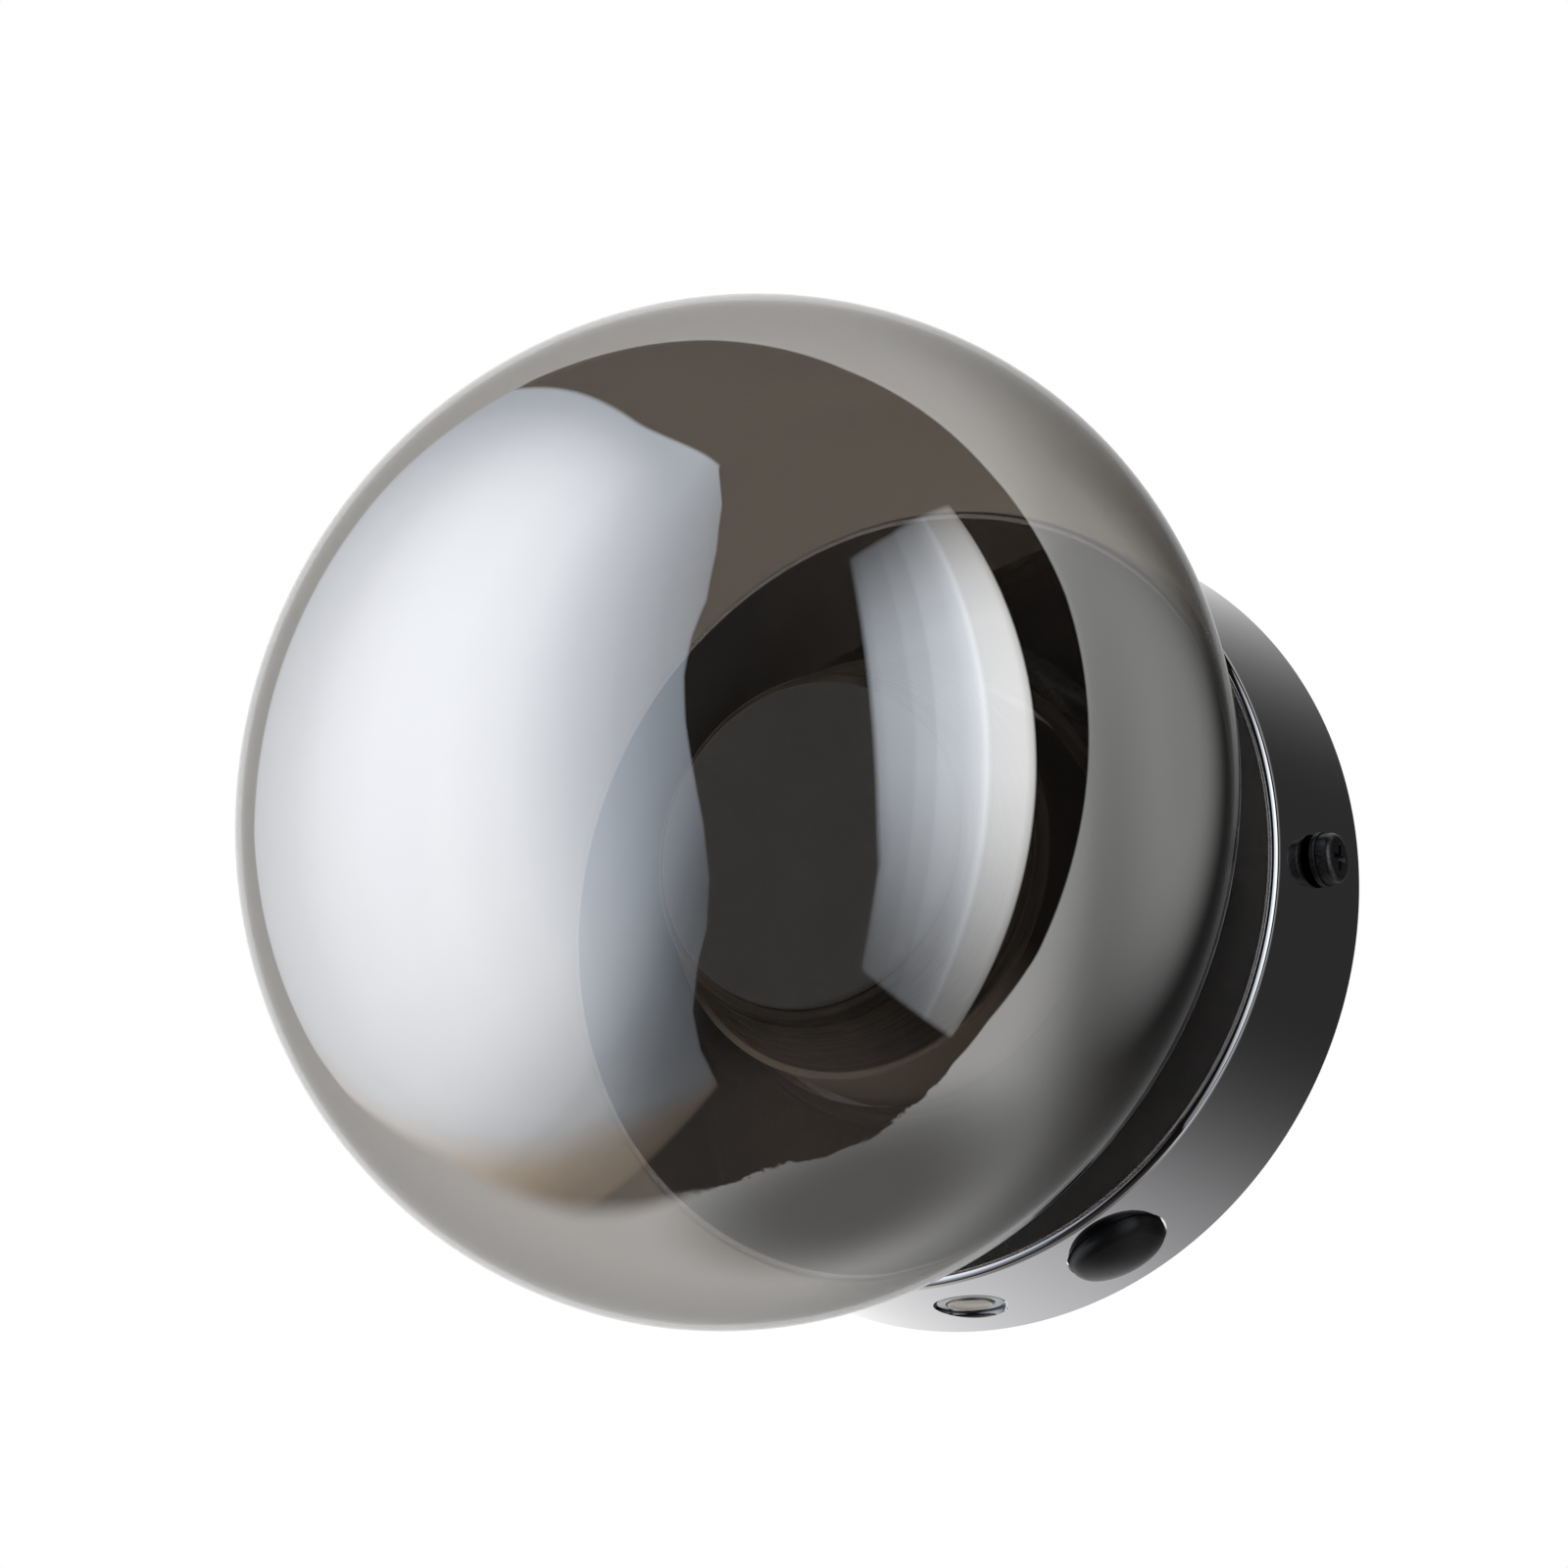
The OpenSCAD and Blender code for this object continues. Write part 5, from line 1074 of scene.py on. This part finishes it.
for name, angle, low, length, radius, wire, turns, joint, travel, node in (
        ("switch_coil", SWITCH_ANGLE, 29.0, 13.95, 3.2, 0.4, 8.0, "switch_press", 2.0, "switch_spring"),
        ("button_coil", BUTTON_ANGLE, 52.2, 7.0, 2.35, 0.3, 6.0, "button_press", 0.8, "button_spring")):
    mesh = worked(name, bpy.data.meshes.new(name), "NODES", node_group=COIL, Radius=radius, Wire=wire,
                  Turns=turns, Length=length, Material=FINISHES["spring_steel"])
    axis = side_axis(angle) @ Matrix.Translation((0, 0, low))
    mesh.transform(axis)
    coil = finish(name, smooth(mesh, 60), "root", [node])
    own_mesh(coil)


# Leads

for name, slot, node, radius, route in (
        ("line_sheath", "brown_wire", "line_lead", 1.1,
         [(-11.5, -17.5, 13), (-11.5, -15, 13), (-10.5, -12.5, 12.6), (-6, -10.8, 12), (-1, -11.2, 11.8),
          (3, -13.6, 12), (5.6, -16.8, 12), (6.65, -18.95, 12), (7.55, -20.75, 12)]),
        ("switched_sheath", "black_wire", "switched_lead", 1.1,
         [(12.05, -18.55, 12), (11.1, -16.7, 12), (10.3, -14.4, 12), (10.2, -9.6, 12.2), (14, -4, 12.4),
          (22, 2, 12.4), (32, 9, 11.4), (38, 16, 10), (38.4, 23, 9.2), (35.4, 27, 9), (33, 27.3, 9),
          (31, 27.3, 9), (29, 27.3, 9)]),
        ("neutral_sheath", "blue_wire", "neutral_lead", 1.1,
         [(-18, -17.5, 13), (-18, -14, 13), (-16.5, -10.5, 12), (-11, -7.5, 10.4), (-3, -5.5, 9),
          (8, -4.5, 8.6), (20, -3, 8.4), (32, 3, 7.8), (41, 13, 7.4), (42.4, 23, 7.8), (39.6, 29.6, 8.6),
          (35.4, 31.3, 9), (31, 31.3, 9), (29, 31.3, 9)]),
        ("earth_sheath", "green_wire", "earth_lead", 1.1,
         [(-24.5, -17.5, 13), (-24.5, -14.5, 13), (-25.6, -10, 11.8), (-28, -4.5, 8.6), (-29, -1.2, 5.8),
          (-27.6, 0, 4.4), (-25.5, 0, 4.2), (-23.5, 0, 4.2)]),
        ("lamp_sheath", "white_wire", "lamp_lead", 1.6,
         [(-29, 30, 9), (-31, 30, 9), (-33, 29.7, 9), (-36, 26, 9), (-35.5, 17, 9.4), (-28, 10, 10),
          (-17, 5, 10.6), (-7, 1.2, 11.6), (-1.5, 0, 15), (0, 0, 21), (0, 0, 30), (0, 0, 40), (0, 0, 46.8),
          (-1, 0, 49.6), (-3.4, 0, 50.9), (-5.8, 0, 50), (-7.5, 0, 49.3), (-9.1, 0, 49.3)]),
        ("button_sheath", "white_wire", "button_lead", 1.1,
         [(1.1, -25.4, 12), (1.05, -24.4, 12), (1, -23.2, 12), (2, -18.6, 9.4), (4.6, -13.6, 6.8),
          (9, -9.6, 5), (20, 9, 4.6), (28, 12.6, 4.8), (34.4, 16.4, 6.2), (34.8, 20, 8.4), (33, 20.5, 9),
          (31, 20.5, 9), (29, 20.5, 9)])):
    path = bpy.data.meshes.new(name + "_path")
    path.from_pydata(route, [(i, i + 1) for i in range(len(route) - 1)], [])
    mesh = worked(name, path, "NODES", node_group=TUBE, Radius=radius, Step=0.8, Material=FINISHES[slot])
    mesh.transform(WALL_AXIS)
    finish(name, smooth(mesh, 60), "root", [node])


# Pressed, stamped and moulded pieces: the CAD's own forms, with their edges broken by a width each. At a
# width of 0, as on the two pressed plates, the edges stay as they are

for node, edge in (("wall_bracket", 0), ("support_plate", 0), ("bayonet_collar", 0.2), ("collar_gasket", 0.2),
                   ("cable_grommet", 0.35), ("earth_washer", 0.08), ("earth_lug", 0.08),
                   ("side_washers", 0.12), ("stop_pins", 0.12), ("led_board", 0.1), ("board_connector", 0.2),
                   ("driver_case", 0.3), ("driver_lid", 0.3), ("driver_board", 0.1), ("driver_pad", 0.1),
                   ("terminal_block", 0.2), ("terminal_clamps", 0.1), ("switch_tags", 0.08),
                   ("button_pins", 0.08), ("button_plug", 0.15), ("switch_plunger", 0.2)):
    source = frame["nodes"][node]
    slot = source.material_slots[0].material.name.split(".")[0]
    bm = bmesh.new()
    bm.from_mesh(source.data)
    bmesh.ops.remove_doubles(bm, verts=bm.verts, dist=2e-6)
    if edge:
        bmesh.ops.dissolve_limit(bm, angle_limit=math.radians(0.8), verts=bm.verts, edges=bm.edges)
    made = bpy.data.meshes.new(node + "_finished")
    bm.to_mesh(made)
    bm.free()
    if edge:
        made = worked(node + "_finished", made, "BEVEL", width=edge * MM, segments=2, limit_method="ANGLE",
                      angle_limit=math.radians(40))
    made = worked(node + "_finished", smooth(made, 32), "WEIGHTED_NORMAL", keep_sharp=True)
    finish(node + "_finished", made, source["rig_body"], [node], [FINISHES[slot]])


bpy.context.scene.view_settings.view_transform = "Standard"
